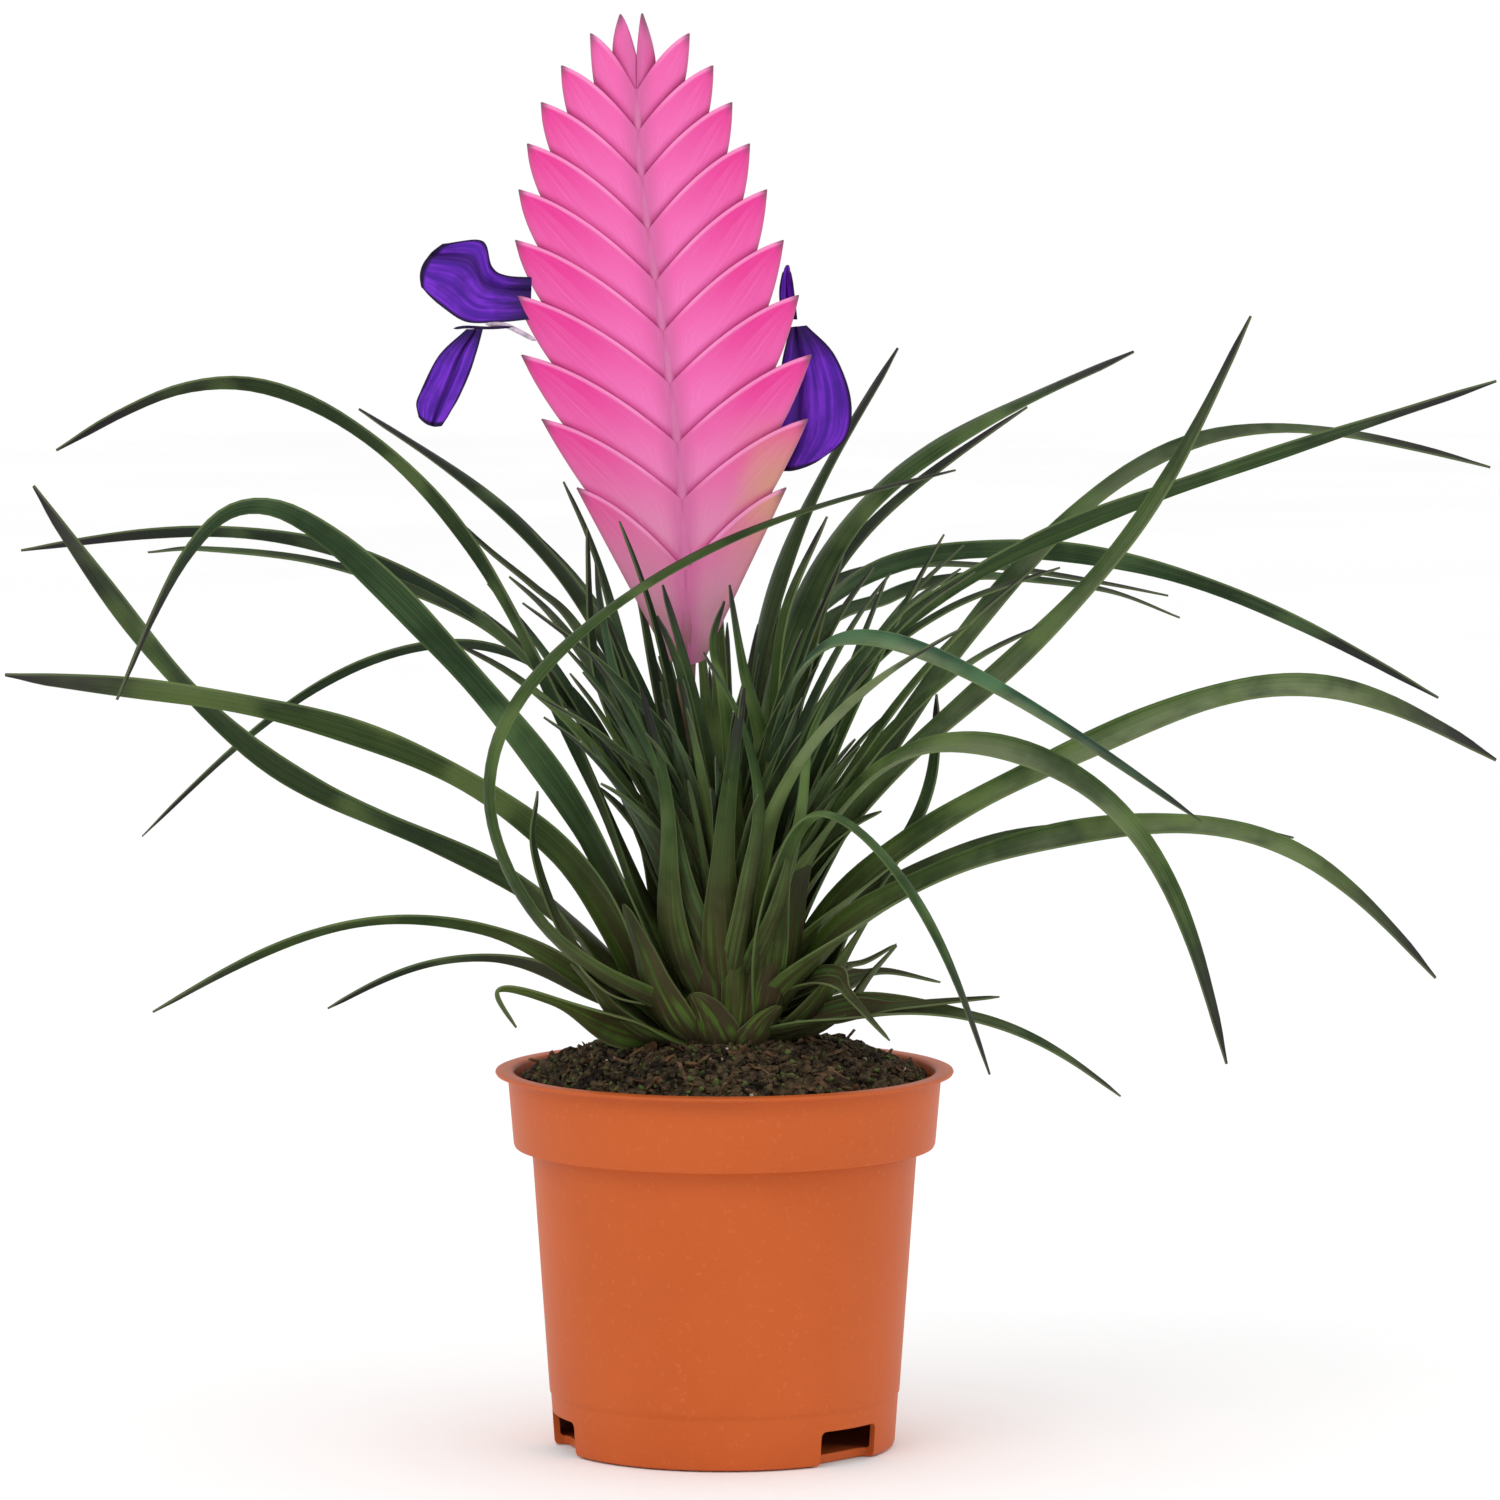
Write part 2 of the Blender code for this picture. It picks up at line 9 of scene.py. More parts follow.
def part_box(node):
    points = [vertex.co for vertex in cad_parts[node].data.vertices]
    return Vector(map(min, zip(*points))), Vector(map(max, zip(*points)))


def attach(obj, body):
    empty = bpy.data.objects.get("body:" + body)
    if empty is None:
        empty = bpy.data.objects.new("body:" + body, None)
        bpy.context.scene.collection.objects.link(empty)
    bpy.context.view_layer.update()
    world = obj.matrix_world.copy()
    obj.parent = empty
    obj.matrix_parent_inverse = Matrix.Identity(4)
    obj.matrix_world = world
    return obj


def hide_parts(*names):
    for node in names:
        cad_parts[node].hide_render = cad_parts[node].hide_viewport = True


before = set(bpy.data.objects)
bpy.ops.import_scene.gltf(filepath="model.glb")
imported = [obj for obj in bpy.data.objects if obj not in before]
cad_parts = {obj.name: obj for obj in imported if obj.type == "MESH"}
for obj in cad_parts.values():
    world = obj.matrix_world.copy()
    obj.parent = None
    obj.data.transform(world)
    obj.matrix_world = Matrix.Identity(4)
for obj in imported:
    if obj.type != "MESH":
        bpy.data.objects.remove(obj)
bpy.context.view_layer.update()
bpy.ops.object.select_all(action="DESELECT")
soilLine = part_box("soil")[1].z          # top of the soil at the plant's foot
mm = 0.001
smoothAngle = math.radians(42)           # sharper edges than this stay sharp


class Wire:
    def __init__(self, tree, out):
        self.tree, self.out = tree, out

    def node(self, kind, settings=None, values=None, output=0):
        made = self.tree.nodes.new(kind)
        for key, value in (settings or {}).items():
            setattr(made, key, value)
        for key, value in (values or {}).items():
            if isinstance(value, Wire):
                self.tree.links.new(value.out, made.inputs[key])
            else:
                made.inputs[key].default_value = value
        return Wire(self.tree, made.outputs[output])

    def maths(self, operation, *values):
        return self.node("ShaderNodeMath", {"operation": operation}, dict(enumerate((self, *values))))

    def __add__(self, other): return self.maths("ADD", other)
    def __sub__(self, other): return self.maths("SUBTRACT", other)
    def __mul__(self, other): return self.maths("MULTIPLY", other)

    def between(self, low, high):                    # 0 below low, 1 above high, smooth on the way
        return self.node("ShaderNodeMapRange", {"interpolation_type": "SMOOTHSTEP"},
                         {"Value": self, "From Min": low, "From Max": high})

    def mixed(self, first, second):                  # this value says how much of the second colour
        values = {0: self}
        for index, colour in ((6, first), (7, second)):
            values[index] = colour if isinstance(colour, Wire) else (*colour, 1.0)
        return self.node("ShaderNodeMix", {"data_type": "RGBA"}, values, output=2)

    def channel(self, index):
        return self.node("ShaderNodeSeparateColor", None, {"Color": self}, output=index)

    def axis(self, index):
        return self.node("ShaderNodeSeparateXYZ", None, {"Vector": self}, output=index)

    def stretched(self, scale):
        return self.node("ShaderNodeMapping", None, {"Vector": self, "Scale": scale})

    def noise(self, scale, detail=3.0, roughness=0.55):
        return self.node("ShaderNodeTexNoise", None,
                         {"Vector": self, "Scale": scale, "Detail": detail, "Roughness": roughness})


class Finish:
    def __init__(self, name, roughness=0.5, **fixed):
        self.material = bpy.data.materials.new(name)
        self.material.use_nodes = True
        self.tree = self.material.node_tree
        self.shader = self.tree.nodes["Principled BSDF"]
        self.shader.inputs["Roughness"].default_value = roughness
        for key, value in fixed.items():
            self.shader.inputs[key.replace("_", " ")].default_value = value
        self.place = Wire(self.tree, None).node("ShaderNodeTexCoord", output=3)     # object coordinates
        self.sheet = Wire(self.tree, None).node("ShaderNodeTexCoord", output=2)     # the piece's own UV map

    def marks(self):                                 # the four numbers that addSheet gives each vertex
        colour, fourth = (self.place.node("ShaderNodeAttribute", {"attribute_name": "marks"}, output=output)
                          for output in (0, 3))
        return (*(colour.channel(index) for index in range(3)), fourth)

    def feed(self, socket, value):
        self.tree.links.new(value.out, self.shader.inputs[socket])

    def bump(self, height, strength, distance):
        self.feed("Normal", height.node("ShaderNodeBump", None,
                                        {"Height": height, "Strength": strength, "Distance": distance}))


def layered(colour, *layers):
    for share, over in layers:
        colour = share.mixed(colour, over)
    return colour


studio = {
    "cameraPlace": (0.005, -1.6, 0.279), "aim": (0.005, 0.0, 0.137), "lens": 197.0, "sensor": 36.0,
    "farthest": 20.0, "floorSize": 8.0, "floorDrop": 0.2 * mm, "floorColour": (0.97, 0.97, 0.97), "sky": 1.0,
    "keyPlace": (-0.9, -1.3, 1.5), "keyPower": 7.0, "keySize": 1.1,
    "fillPlace": (1.3, -0.9, 0.9), "fillPower": 2.5, "fillSize": 1.2,
}


def aimed(made, place, aim):
    made.location = place
    made.rotation_euler = (Vector(aim) - Vector(place)).to_track_quat("-Z", "Y").to_euler()


def buildStudio():
    camera = bpy.data.objects.new("camera", bpy.data.cameras.new("camera"))
    bpy.context.scene.collection.objects.link(camera)
    camera.data.lens = studio["lens"]
    camera.data.sensor_width = studio["sensor"]
    camera.data.clip_end = studio["farthest"]
    aimed(camera, studio["cameraPlace"], studio["aim"])
    bpy.context.scene.camera = camera
    for name in ("key", "fill"):
        lamp = bpy.data.objects.new(name, bpy.data.lights.new(name, "AREA"))
        bpy.context.scene.collection.objects.link(lamp)
        lamp.data.energy = studio[name + "Power"]
        lamp.data.size = studio[name + "Size"]
        aimed(lamp, studio[name + "Place"], studio["aim"])
    world = bpy.data.worlds.new("studio")
    world.use_nodes = True
    sky = world.node_tree.nodes["Background"].inputs
    sky["Color"].default_value = (1, 1, 1, 1)
    sky["Strength"].default_value = studio["sky"]
    bpy.context.scene.world = world
    bpy.context.scene.view_settings.view_transform = "Standard"
    bpy.ops.mesh.primitive_plane_add(size=studio["floorSize"], location=(0, 0, -studio["floorDrop"]))
    floor = bpy.context.object
    floor.name = "floor"
    paper = Finish("floorPaper", roughness=0.9)
    paper.feed("Base Color", paper.place.noise(3.0).between(0.3, 0.7).mixed(
        studio["floorColour"], (1.0, 1.0, 1.0)))
    floor.data.materials.append(paper.material)
    floor.select_set(False)


def choose(*pieces):
    bpy.ops.object.select_all(action="DESELECT")
    for piece in pieces:
        piece.select_set(True)
    bpy.context.view_layer.objects.active = pieces[0]


def finishPiece(piece, finish, slotName, *nodes):
    choose(piece)
    piece.data.materials.append(finish.material)
    bpy.ops.object.transform_apply(location=True, rotation=True, scale=True)
    bpy.ops.object.shade_smooth_by_angle(angle=smoothAngle)
    piece.select_set(False)
    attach(piece, "root")
    if nodes:
        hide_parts(*nodes)
    return piece


def applied(piece, kind, **settings):
    modifier = piece.modifiers.new(kind.lower(), kind)
    for key, value in settings.items():
        setattr(modifier, key, value)
    choose(piece)
    bpy.ops.object.modifier_apply(modifier=modifier.name)
    piece.select_set(False)


def joined(pieces, name):
    choose(*pieces)
    bpy.ops.object.join()
    pieces[0].name = pieces[0].data.name = name
    pieces[0].select_set(False)
    return pieces[0]


def smoothed(values, count):
    values = np.asarray(values, float)
    places = np.linspace(0, len(values) - 1, count)
    index = np.minimum(places.astype(int), len(values) - 2)
    part = (places - index)[:, None]
    padded = np.vstack((2 * values[:1] - values[1:2], values, 2 * values[-1:] - values[-2:-1]))
    a, b, c, d = (padded[index + k] for k in range(4))
    return 0.5 * (2 * b + (c - a) * part + (2 * a - 5 * b + 4 * c - d) * part ** 2
                  + (3 * b - a - 3 * c + d) * part ** 3)


def unit(vectors):
    return vectors / np.maximum(np.linalg.norm(vectors, axis=-1, keepdims=True), 1e-12)


def smoothStep(values, low, high):
    share = np.clip((np.asarray(values, float) - low) / (high - low), 0, 1)
    return share * share * (3 - 2 * share)


def addSheet(name, columns, rows, shape, place, thickness=0.0):
    # columns by rows grid whose vertices are put at shape(u, v); place(u, v) gives four numbers to the finish
    bpy.ops.object.select_all(action="DESELECT")
    bpy.ops.mesh.primitive_grid_add(x_subdivisions=columns, y_subdivisions=rows, size=1.0)
    sheet = bpy.context.object
    sheet.name = sheet.data.name = name
    flat = np.zeros(len(sheet.data.vertices) * 3)
    sheet.data.vertices.foreach_get("co", flat)
    flat = flat.reshape(-1, 3)
    u, v = flat[:, 0] + 0.5, flat[:, 1] + 0.5
    sheet.data.vertices.foreach_set("co", shape(u, v).astype(np.float32).ravel())
    marks = sheet.data.color_attributes.new("marks", "FLOAT_COLOR", "POINT")
    marks.data.foreach_set("color", np.stack(place(u, v), axis=1).astype(np.float32).ravel())
    sheet.data.update()
    if thickness:
        applied(sheet, "SOLIDIFY", thickness=thickness, offset=0.0)
    sheet.select_set(False)
    return sheet


def walkRings(shape, first):
    # the rings of six points along a thin lofted solid, from the ring that the first point is on
    near = sorted(shape.verts, key=lambda vertex: (vertex.co - first.co).length)[:6]
    middle = sum((vertex.co for vertex in near), Vector()) / 6
    ring = sorted(shape.verts, key=lambda vertex: (vertex.co - middle).length)[:6]
    rings, used = [], set()
    while ring:
        rings.append(sorted(ring, key=lambda vertex: vertex.index))
        used |= {vertex.index for vertex in ring}
        beyond = {edge.other_vert(vertex).index: edge.other_vert(vertex)
                  for vertex in ring for edge in vertex.link_edges}
        ring = [vertex for index, vertex in sorted(beyond.items()) if index not in used]
    return rings


def readRings(node, distance):
    # the rings of a CAD leaf or bract, from the end that distance() finds
    shape = bmesh.new()
    shape.from_mesh(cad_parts[node].data)
    bmesh.ops.remove_doubles(shape, verts=shape.verts[:], dist=0.002 * mm)
    shape.verts.index_update()
    rings = walkRings(shape, min(shape.verts, key=lambda vertex: distance(vertex.co)))
    if any(len(ring) != 6 for ring in rings):        # the first two rings lie too close: start at the other end
        rings = walkRings(shape, rings[-1][0])[::-1]
    points = [np.array([vertex.co[:] for vertex in ring]) for ring in rings]
    shape.free()
    return points


def bladeFromRings(rings):
    # fold line, width direction and width at each ring
    folds, sides, widths = [], [], []
    before = None
    for ring in rings:
        apart = np.linalg.norm(ring[:, None] - ring[None], axis=2)
        a, b = np.unravel_index(np.argmax(apart), apart.shape)
        side = unit(ring[b] - ring[a])
        if before is not None and side @ before < 0:
            side = -side
        before = side
        order = np.argsort(ring @ side)
        left, fold, right = (ring[order[k:k + 2]].mean(0) for k in (0, 2, 4))
        folds.append(fold)
        sides.append(unit(right - left))
        widths.append(np.linalg.norm(right - left))
    return np.array(folds), np.array(sides), np.array(widths)


potSizes = {
    "segments": 144,
    # radius and height of each turn of the wall, from the base outside, over the lip, to the floor inside
    "wall": (
        (32.7, 0.0), (33.3, 0.25), (33.55, 0.9), (34.15, 9.6), (34.2, 10.3), (34.42, 10.6), (34.5, 11.4),
        (37.6, 55.4), (37.75, 57.2), (37.95, 58.3), (38.6, 58.8), (40.5, 58.95), (41.15, 59.15),
        (41.42, 59.7), (42.45, 71.6), (42.6, 72.6), (42.95, 73.15), (44.2, 73.3), (44.8, 73.42),
        (45.0, 73.75), (44.9, 74.05), (44.5, 74.2), (42.1, 74.2), (41.6, 74.0), (41.35, 73.5),
        (40.25, 60.6), (39.7, 60.2), (37.0, 60.0), (36.6, 59.4), (32.4, 2.1), (31.8, 1.6), (20.0, 1.6)),
    # azimuth of each notch in degrees; its depth, width and height in mm
    "notchTurns": (-43.0, 77.0, 197.0), "notch": (3.6, 15.4, 6.8), "notchRound": 1.1 * mm,
}


def potPlastic():
    finish = Finish("terracottaPlastic", roughness=0.5, Specular_IOR_Level=0.14)
    cloud = finish.place.noise(30.0, 4.0)
    speck = finish.place.noise(900.0, 2.0)
    height = finish.place.axis(2)
    grime = height.between(0.0685, 0.0745) * cloud.between(0.45, 0.75) * 0.35
    finish.feed("Base Color", layered(
        cloud.between(0.3, 0.7).mixed((0.505, 0.098, 0.02), (0.54, 0.108, 0.024)),
        (speck.between(0.6, 0.72) * 0.4, (0.6, 0.15, 0.05)),
        (grime, (0.26, 0.06, 0.02))))
    finish.feed("Roughness", cloud * 0.12 + speck * 0.06 + 0.38)
    finish.bump(speck + cloud * 2.0, 0.12, 0.0002)
    return finish


def startRing(name, segments, radius, place):
    # a filled ring, left in edit mode for the rings that follow
    bpy.ops.mesh.primitive_circle_add(vertices=segments, radius=radius, fill_type="NGON", location=place)
    ring = bpy.context.object
    bpy.ops.object.transform_apply(location=True)
    ring.name = ring.data.name = name
    bpy.ops.object.mode_set(mode="EDIT")
    bpy.ops.mesh.select_mode(type="FACE")
    bpy.ops.mesh.select_all(action="SELECT")
    return ring


def endRings():
    bpy.ops.mesh.select_all(action="SELECT")
    bpy.ops.mesh.normals_make_consistent(inside=False)
    bpy.ops.object.mode_set(mode="OBJECT")


def extrudeRing(radiusBefore, radius, rise, extrude=bpy.ops.mesh.extrude_region_move):
    extrude(TRANSFORM_OT_translate={"value": (0, 0, rise)})
    share = radius / radiusBefore
    bpy.ops.transform.resize(value=(share, share, 1.0), center_override=(0, 0, 0))


def buildPot():
    wall = [(r * mm, z * mm) for r, z in potSizes["wall"]]
    bpy.ops.mesh.primitive_circle_add(vertices=potSizes["segments"], radius=wall[0][0], fill_type="NGON")
    pot = bpy.context.object
    pot.name = pot.data.name = "nurseryPot"
    bpy.ops.object.mode_set(mode="EDIT")
    bpy.ops.mesh.select_all(action="SELECT")
    bpy.ops.mesh.delete(type="ONLY_FACE")
    bpy.ops.mesh.select_all(action="SELECT")
    bpy.ops.mesh.edge_face_add()                     # the underside, kept when the ring goes up
    bpy.ops.mesh.select_mode(type="EDGE")
    extrude = bpy.ops.mesh.extrude_edges_move
    for (radiusBefore, zBefore), (radius, z) in zip(wall, wall[1:]):
        extrudeRing(radiusBefore, radius, z - zBefore, extrude)
        extrude = bpy.ops.mesh.extrude_region_move
    bpy.ops.mesh.edge_face_add()
    endRings()
    deep, wide, high = (size * mm for size in potSizes["notch"])
    at = wall[2][0]                                  # the wall's radius where the notches cut it
    for turn in potSizes["notchTurns"]:
        angle = math.radians(turn)
        bpy.ops.mesh.primitive_cube_add(size=1.0, location=(at * math.cos(angle), at * math.sin(angle), 0.0),
                                        rotation=(0, 0, angle), scale=(2 * deep, wide, 2 * high))
        cutter = bpy.context.object
        bpy.ops.object.transform_apply(location=True, rotation=True, scale=True)
        applied(cutter, "BEVEL", width=potSizes["notchRound"], segments=4, limit_method="ANGLE")
        applied(pot, "BOOLEAN", operation="DIFFERENCE", solver="EXACT", object=cutter)
        bpy.data.objects.remove(cutter, do_unlink=True)
    finishPiece(pot, potPlastic(), "pot", "pot")
    print("pot", len(pot.data.polygons), "faces")


soilSizes = {
    # the skirt's radius and height below and above, then the radius and height of the bed, all in mm
    "skirt": ((41.0, 66.0), (41.05, 71.2)), "rings": 26, "segments": 128,
    "profile": ((0.0, 80.6), (10.0, 80.2), (18.0, 79.4), (25.4, 78.4), (32.0, 75.9), (37.0, 73.6), (41.05, 71.4)),
    "lumps": 0.9 * mm, "lumpScale": 240.0, "sunk": 0.5 * mm, "calmRim": 2 * mm, "seed": 11,
    "tilt": 0.9, "wobble": 0.22, "long": (0.7, 1.3), "broad": (0.7, 1.2),
}
# what lies on the bed: shape, count, size in mm, flatness, reach in mm, lift as a share of the size, stretch,
# then the finish's name, dark and light colour
soilBits = {
    "soilGrains": ("grain", 3600, (0.35, 1.15), 0.8, 40.2, (-0.3, 0.5), 1.0,
                   "peatGrains", (0.012, 0.008, 0.005), (0.09, 0.06, 0.03)),
    "soilMoss": ("grain", 520, (0.3, 0.8), 0.7, 39.5, (0.3, 0.9), 1.0,
                 "mossFlecks", (0.035, 0.05, 0.012), (0.11, 0.14, 0.04)),
    "soilChips": ("grain", 90, (0.7, 1.5), 0.35, 39.0, (0.2, 0.7), 1.5,
                  "barkChips", (0.045, 0.022, 0.01), (0.15, 0.075, 0.035)),
    "soilSpecks": ("grain", 26, (0.3, 0.6), 0.8, 39.0, (0.4, 0.9), 1.0,
                   "paleSpecks", (0.35, 0.32, 0.26), (0.6, 0.56, 0.48)),
    "soilFibres": ("stick", 130, (0.9, 2.4), 1.0, 38.5, (0.15, 0.4), 1.2,
                   "peatFibres", (0.05, 0.028, 0.014), (0.16, 0.095, 0.05)),
}


def soilHeight(radius):
    radii, heights = zip(*soilSizes["profile"])
    return float(np.interp(radius / mm, radii, heights)) * mm


def soilFinish(name, dark, light):
    finish = Finish(name, Specular_IOR_Level=0.2)
    fine = finish.place.noise(420.0, 3.0, 0.7)
    broad = finish.place.noise(60.0, 2.0)
    finish.feed("Base Color", (fine * 0.75 + broad * 0.25).between(0.38, 0.62).mixed(dark, light))
    finish.feed("Roughness", fine * 0.2 + 0.8)
    finish.bump(fine, 0.8, 0.0008)
    return finish


def buildSoil():
    inner, outer = soilSizes["skirt"]
    bed = startRing("soilBed", soilSizes["segments"], inner[0] * mm, (0, 0, inner[1] * mm))
    extrudeRing(inner[0], outer[0], (outer[1] - inner[1]) * mm)
    for ring in range(soilSizes["rings"]):
        bpy.ops.mesh.inset(thickness=outer[0] * mm / (soilSizes["rings"] + 1), depth=0.0)
    bpy.ops.mesh.poke()
    endRings()
    for vertex in bed.data.vertices:
        if vertex.co.z < (outer[1] - 0.5) * mm:      # the skirt stays even
            continue
        radius = math.hypot(vertex.co.x, vertex.co.y)
        lump = noise.fractal(vertex.co * soilSizes["lumpScale"], 0.9, 2.1, 4) * soilSizes["lumps"]
        fade = min(1.0, (outer[0] * mm - radius) / soilSizes["calmRim"])
        vertex.co.z = soilHeight(radius) + lump * (0.3 + 0.7 * fade) - soilSizes["sunk"]
    finishPiece(bed, soilFinish("peat", (0.014, 0.009, 0.005), (0.072, 0.048, 0.024)), "soil", "soil")
    scatterBits()
    print("soil and its grains")


def scatterBits():
    sizes = soilSizes
    draw = np.random.default_rng(sizes["seed"])
    bpy.ops.mesh.primitive_ico_sphere_add(subdivisions=1, radius=1.0)
    shapes = {"grain": bpy.context.object}
    bpy.ops.mesh.primitive_cylinder_add(vertices=5, radius=0.16, depth=2.0, rotation=(0, math.radians(90), 0))
    shapes["stick"] = bpy.context.object
    bpy.ops.object.transform_apply(rotation=True)
    tilt, wobbling = sizes["tilt"], sizes["wobble"]
    for name, (kind, count, span, flatness, spread, lift, stretch, skin, dark, light) in soilBits.items():
        base = np.array([vertex.co[:] for vertex in shapes[kind].data.vertices])
        corners = [list(face.vertices) for face in shapes[kind].data.polygons]
        points, faces = [], []
        for index in range(count):
            radius = spread * mm * math.sqrt(draw.uniform(0.0, 1.0))
            angle = draw.uniform(0, math.tau)
            size = draw.uniform(*span) * mm
            turn = Euler((draw.uniform(-tilt, tilt), draw.uniform(-tilt, tilt), draw.uniform(0, math.tau)))
            scale = np.array([size * stretch * draw.uniform(*sizes["long"]),
                              size * draw.uniform(*sizes["broad"]),
                              size * flatness * draw.uniform(*sizes["broad"])])
            wobble = 1.0 + draw.uniform(-wobbling, wobbling, (len(base), 1))
            at = np.array([radius * math.cos(angle), radius * math.sin(angle),
                           soilHeight(radius) + size * draw.uniform(*lift)])
            points.append((base * wobble * scale) @ np.array(turn.to_matrix()).T + at)
            faces += [[len(base) * index + corner for corner in face] for face in corners]
        mesh = bpy.data.meshes.new(name)
        mesh.from_pydata(np.concatenate(points).tolist(), [], faces)
        piece = bpy.data.objects.new(name, mesh)
        bpy.context.scene.collection.objects.link(piece)
        finishPiece(piece, soilFinish(skin, dark, light), "soil")
    for shape in shapes.values():
        bpy.data.objects.remove(shape, do_unlink=True)


leafSizes = {
    "rows": 64, "columns": 8, "thickness": 0.42 * mm, "width": 1.05,
    # the sheath's width at the foot and where it is broadest, and how far up it is broadest and ends
    "sheathFoot": 8.5 * mm, "sheath": 13.0 * mm, "sheathAt": 18.0 * mm, "sheathEnd": 50.0 * mm, "sheathMost": 0.6,
    "footCurl": 52.0, "bladeCurl": 36.0, "tipCurl": 16.0,      # half-angles of the channel in degrees
    "bladeFrom": 50 * mm, "tipFrom": 0.3, "edgeLift": 0.07, "wave": 0.05, "waveTurns": 130.0,
    # shares of the length: where the blade turns over, where its taper would end, and its last point
    "turnOver": (0.03, 0.35), "taperEnd": 1.14, "point": (0.95, 1.02), "pointPower": 0.7, "pointWidth": 0.02,
    # the share of its width that a leaf shows in front, and what a turn and a hidden upper side cost
    "facing": 0.62, "mostTurn": 62, "turnStep": 4, "turnCost": 0.00002, "hiddenCost": 0.03,
    "footHeight": 7.0 * mm, "footNear": 8.0 * mm, "footDrop": 7.0 * mm, "footShare": 0.72, "leastDrop": 2.0 * mm,
    "markReach": 100 * mm,
}
# for each leaf: darkness and blueness, 0 to 1, its share of the modelled width, its sheath's share,
# and the share of its length where the blade starts to taper
leafLooks = {
    "right_blue": (0.1, 1.0, 0.55, 0.6, 0.4), "rear_dark_thin": (0.95, 0.3, 0.9, 0.6, 0.4),
    "right_dark_arch": (0.5, 0.3, 0.56, 1.0, 0.5), "left_low_rear": (0.9, 0.2, 0.6, 0.8, 0.4),
    "left_rear_drooping": (0.8, 0.5, 0.58, 0.8, 0.4), "left_rear_long": (0.9, 0.3, 0.85, 0.8, 0.45),
    "left_high_arch": (0.75, 0.1, 0.72, 0.9, 0.6), "left_steep": (0.75, 0.1, 0.97, 1.0, 0.72),
    "front_left_curl": (0.5, 0.1, 0.55, 0.8, 0.3), "left_rear_rising": (0.85, 0.3, 0.95, 0.7, 0.5),
    "right_rear_arch": (0.4, 0.5, 1.0, 0.7, 0.4), "rear_low_thin": (0.8, 0.5, 0.8, 0.6, 0.4),
    "left_broad_arch": (0.45, 0.5, 0.69, 1.1, 0.52), "left_broad_low": (0.6, 0.0, 0.8, 1.1, 0.7),
    "right_broad": (0.15, 0.0, 0.63, 1.1, 0.65), "right_broad_low": (0.35, 0.0, 0.64, 1.1, 0.4),
    "right_low": (0.6, 0.1, 0.55, 0.8, 0.4), "right_short": (0.25, 0.4, 0.8, 0.8, 0.4),
    "right_front_droop": (0.25, 0.1, 0.66, 1.1, 0.4), "right_straight": (0.3, 0.1, 0.88, 1.0, 0.4),
    "right_rear_high": (0.45, 0.3, 1.05, 0.7, 0.5), "right_rear_rising": (0.45, 0.2, 1.05, 0.7, 0.5),
    "rear_upright": (0.6, 0.2, 1.1, 0.6, 0.5), "front_thin_arch": (0.25, 0.3, 0.6, 0.7, 0.4),
    "left_low_arch": (0.6, 0.0, 0.52, 0.8, 0.6), "left_hooked": (0.3, 0.0, 0.75, 0.8, 0.4),
    "right_inner_front": (0.0, 0.0, 0.68, 0.8, 0.35), "front_sheath": (0.62, 0.0, 0.62, 0.7, 0.3),
    "front_left_sheath": (0.45, 0.15, 0.62, 0.55, 0.3),
}
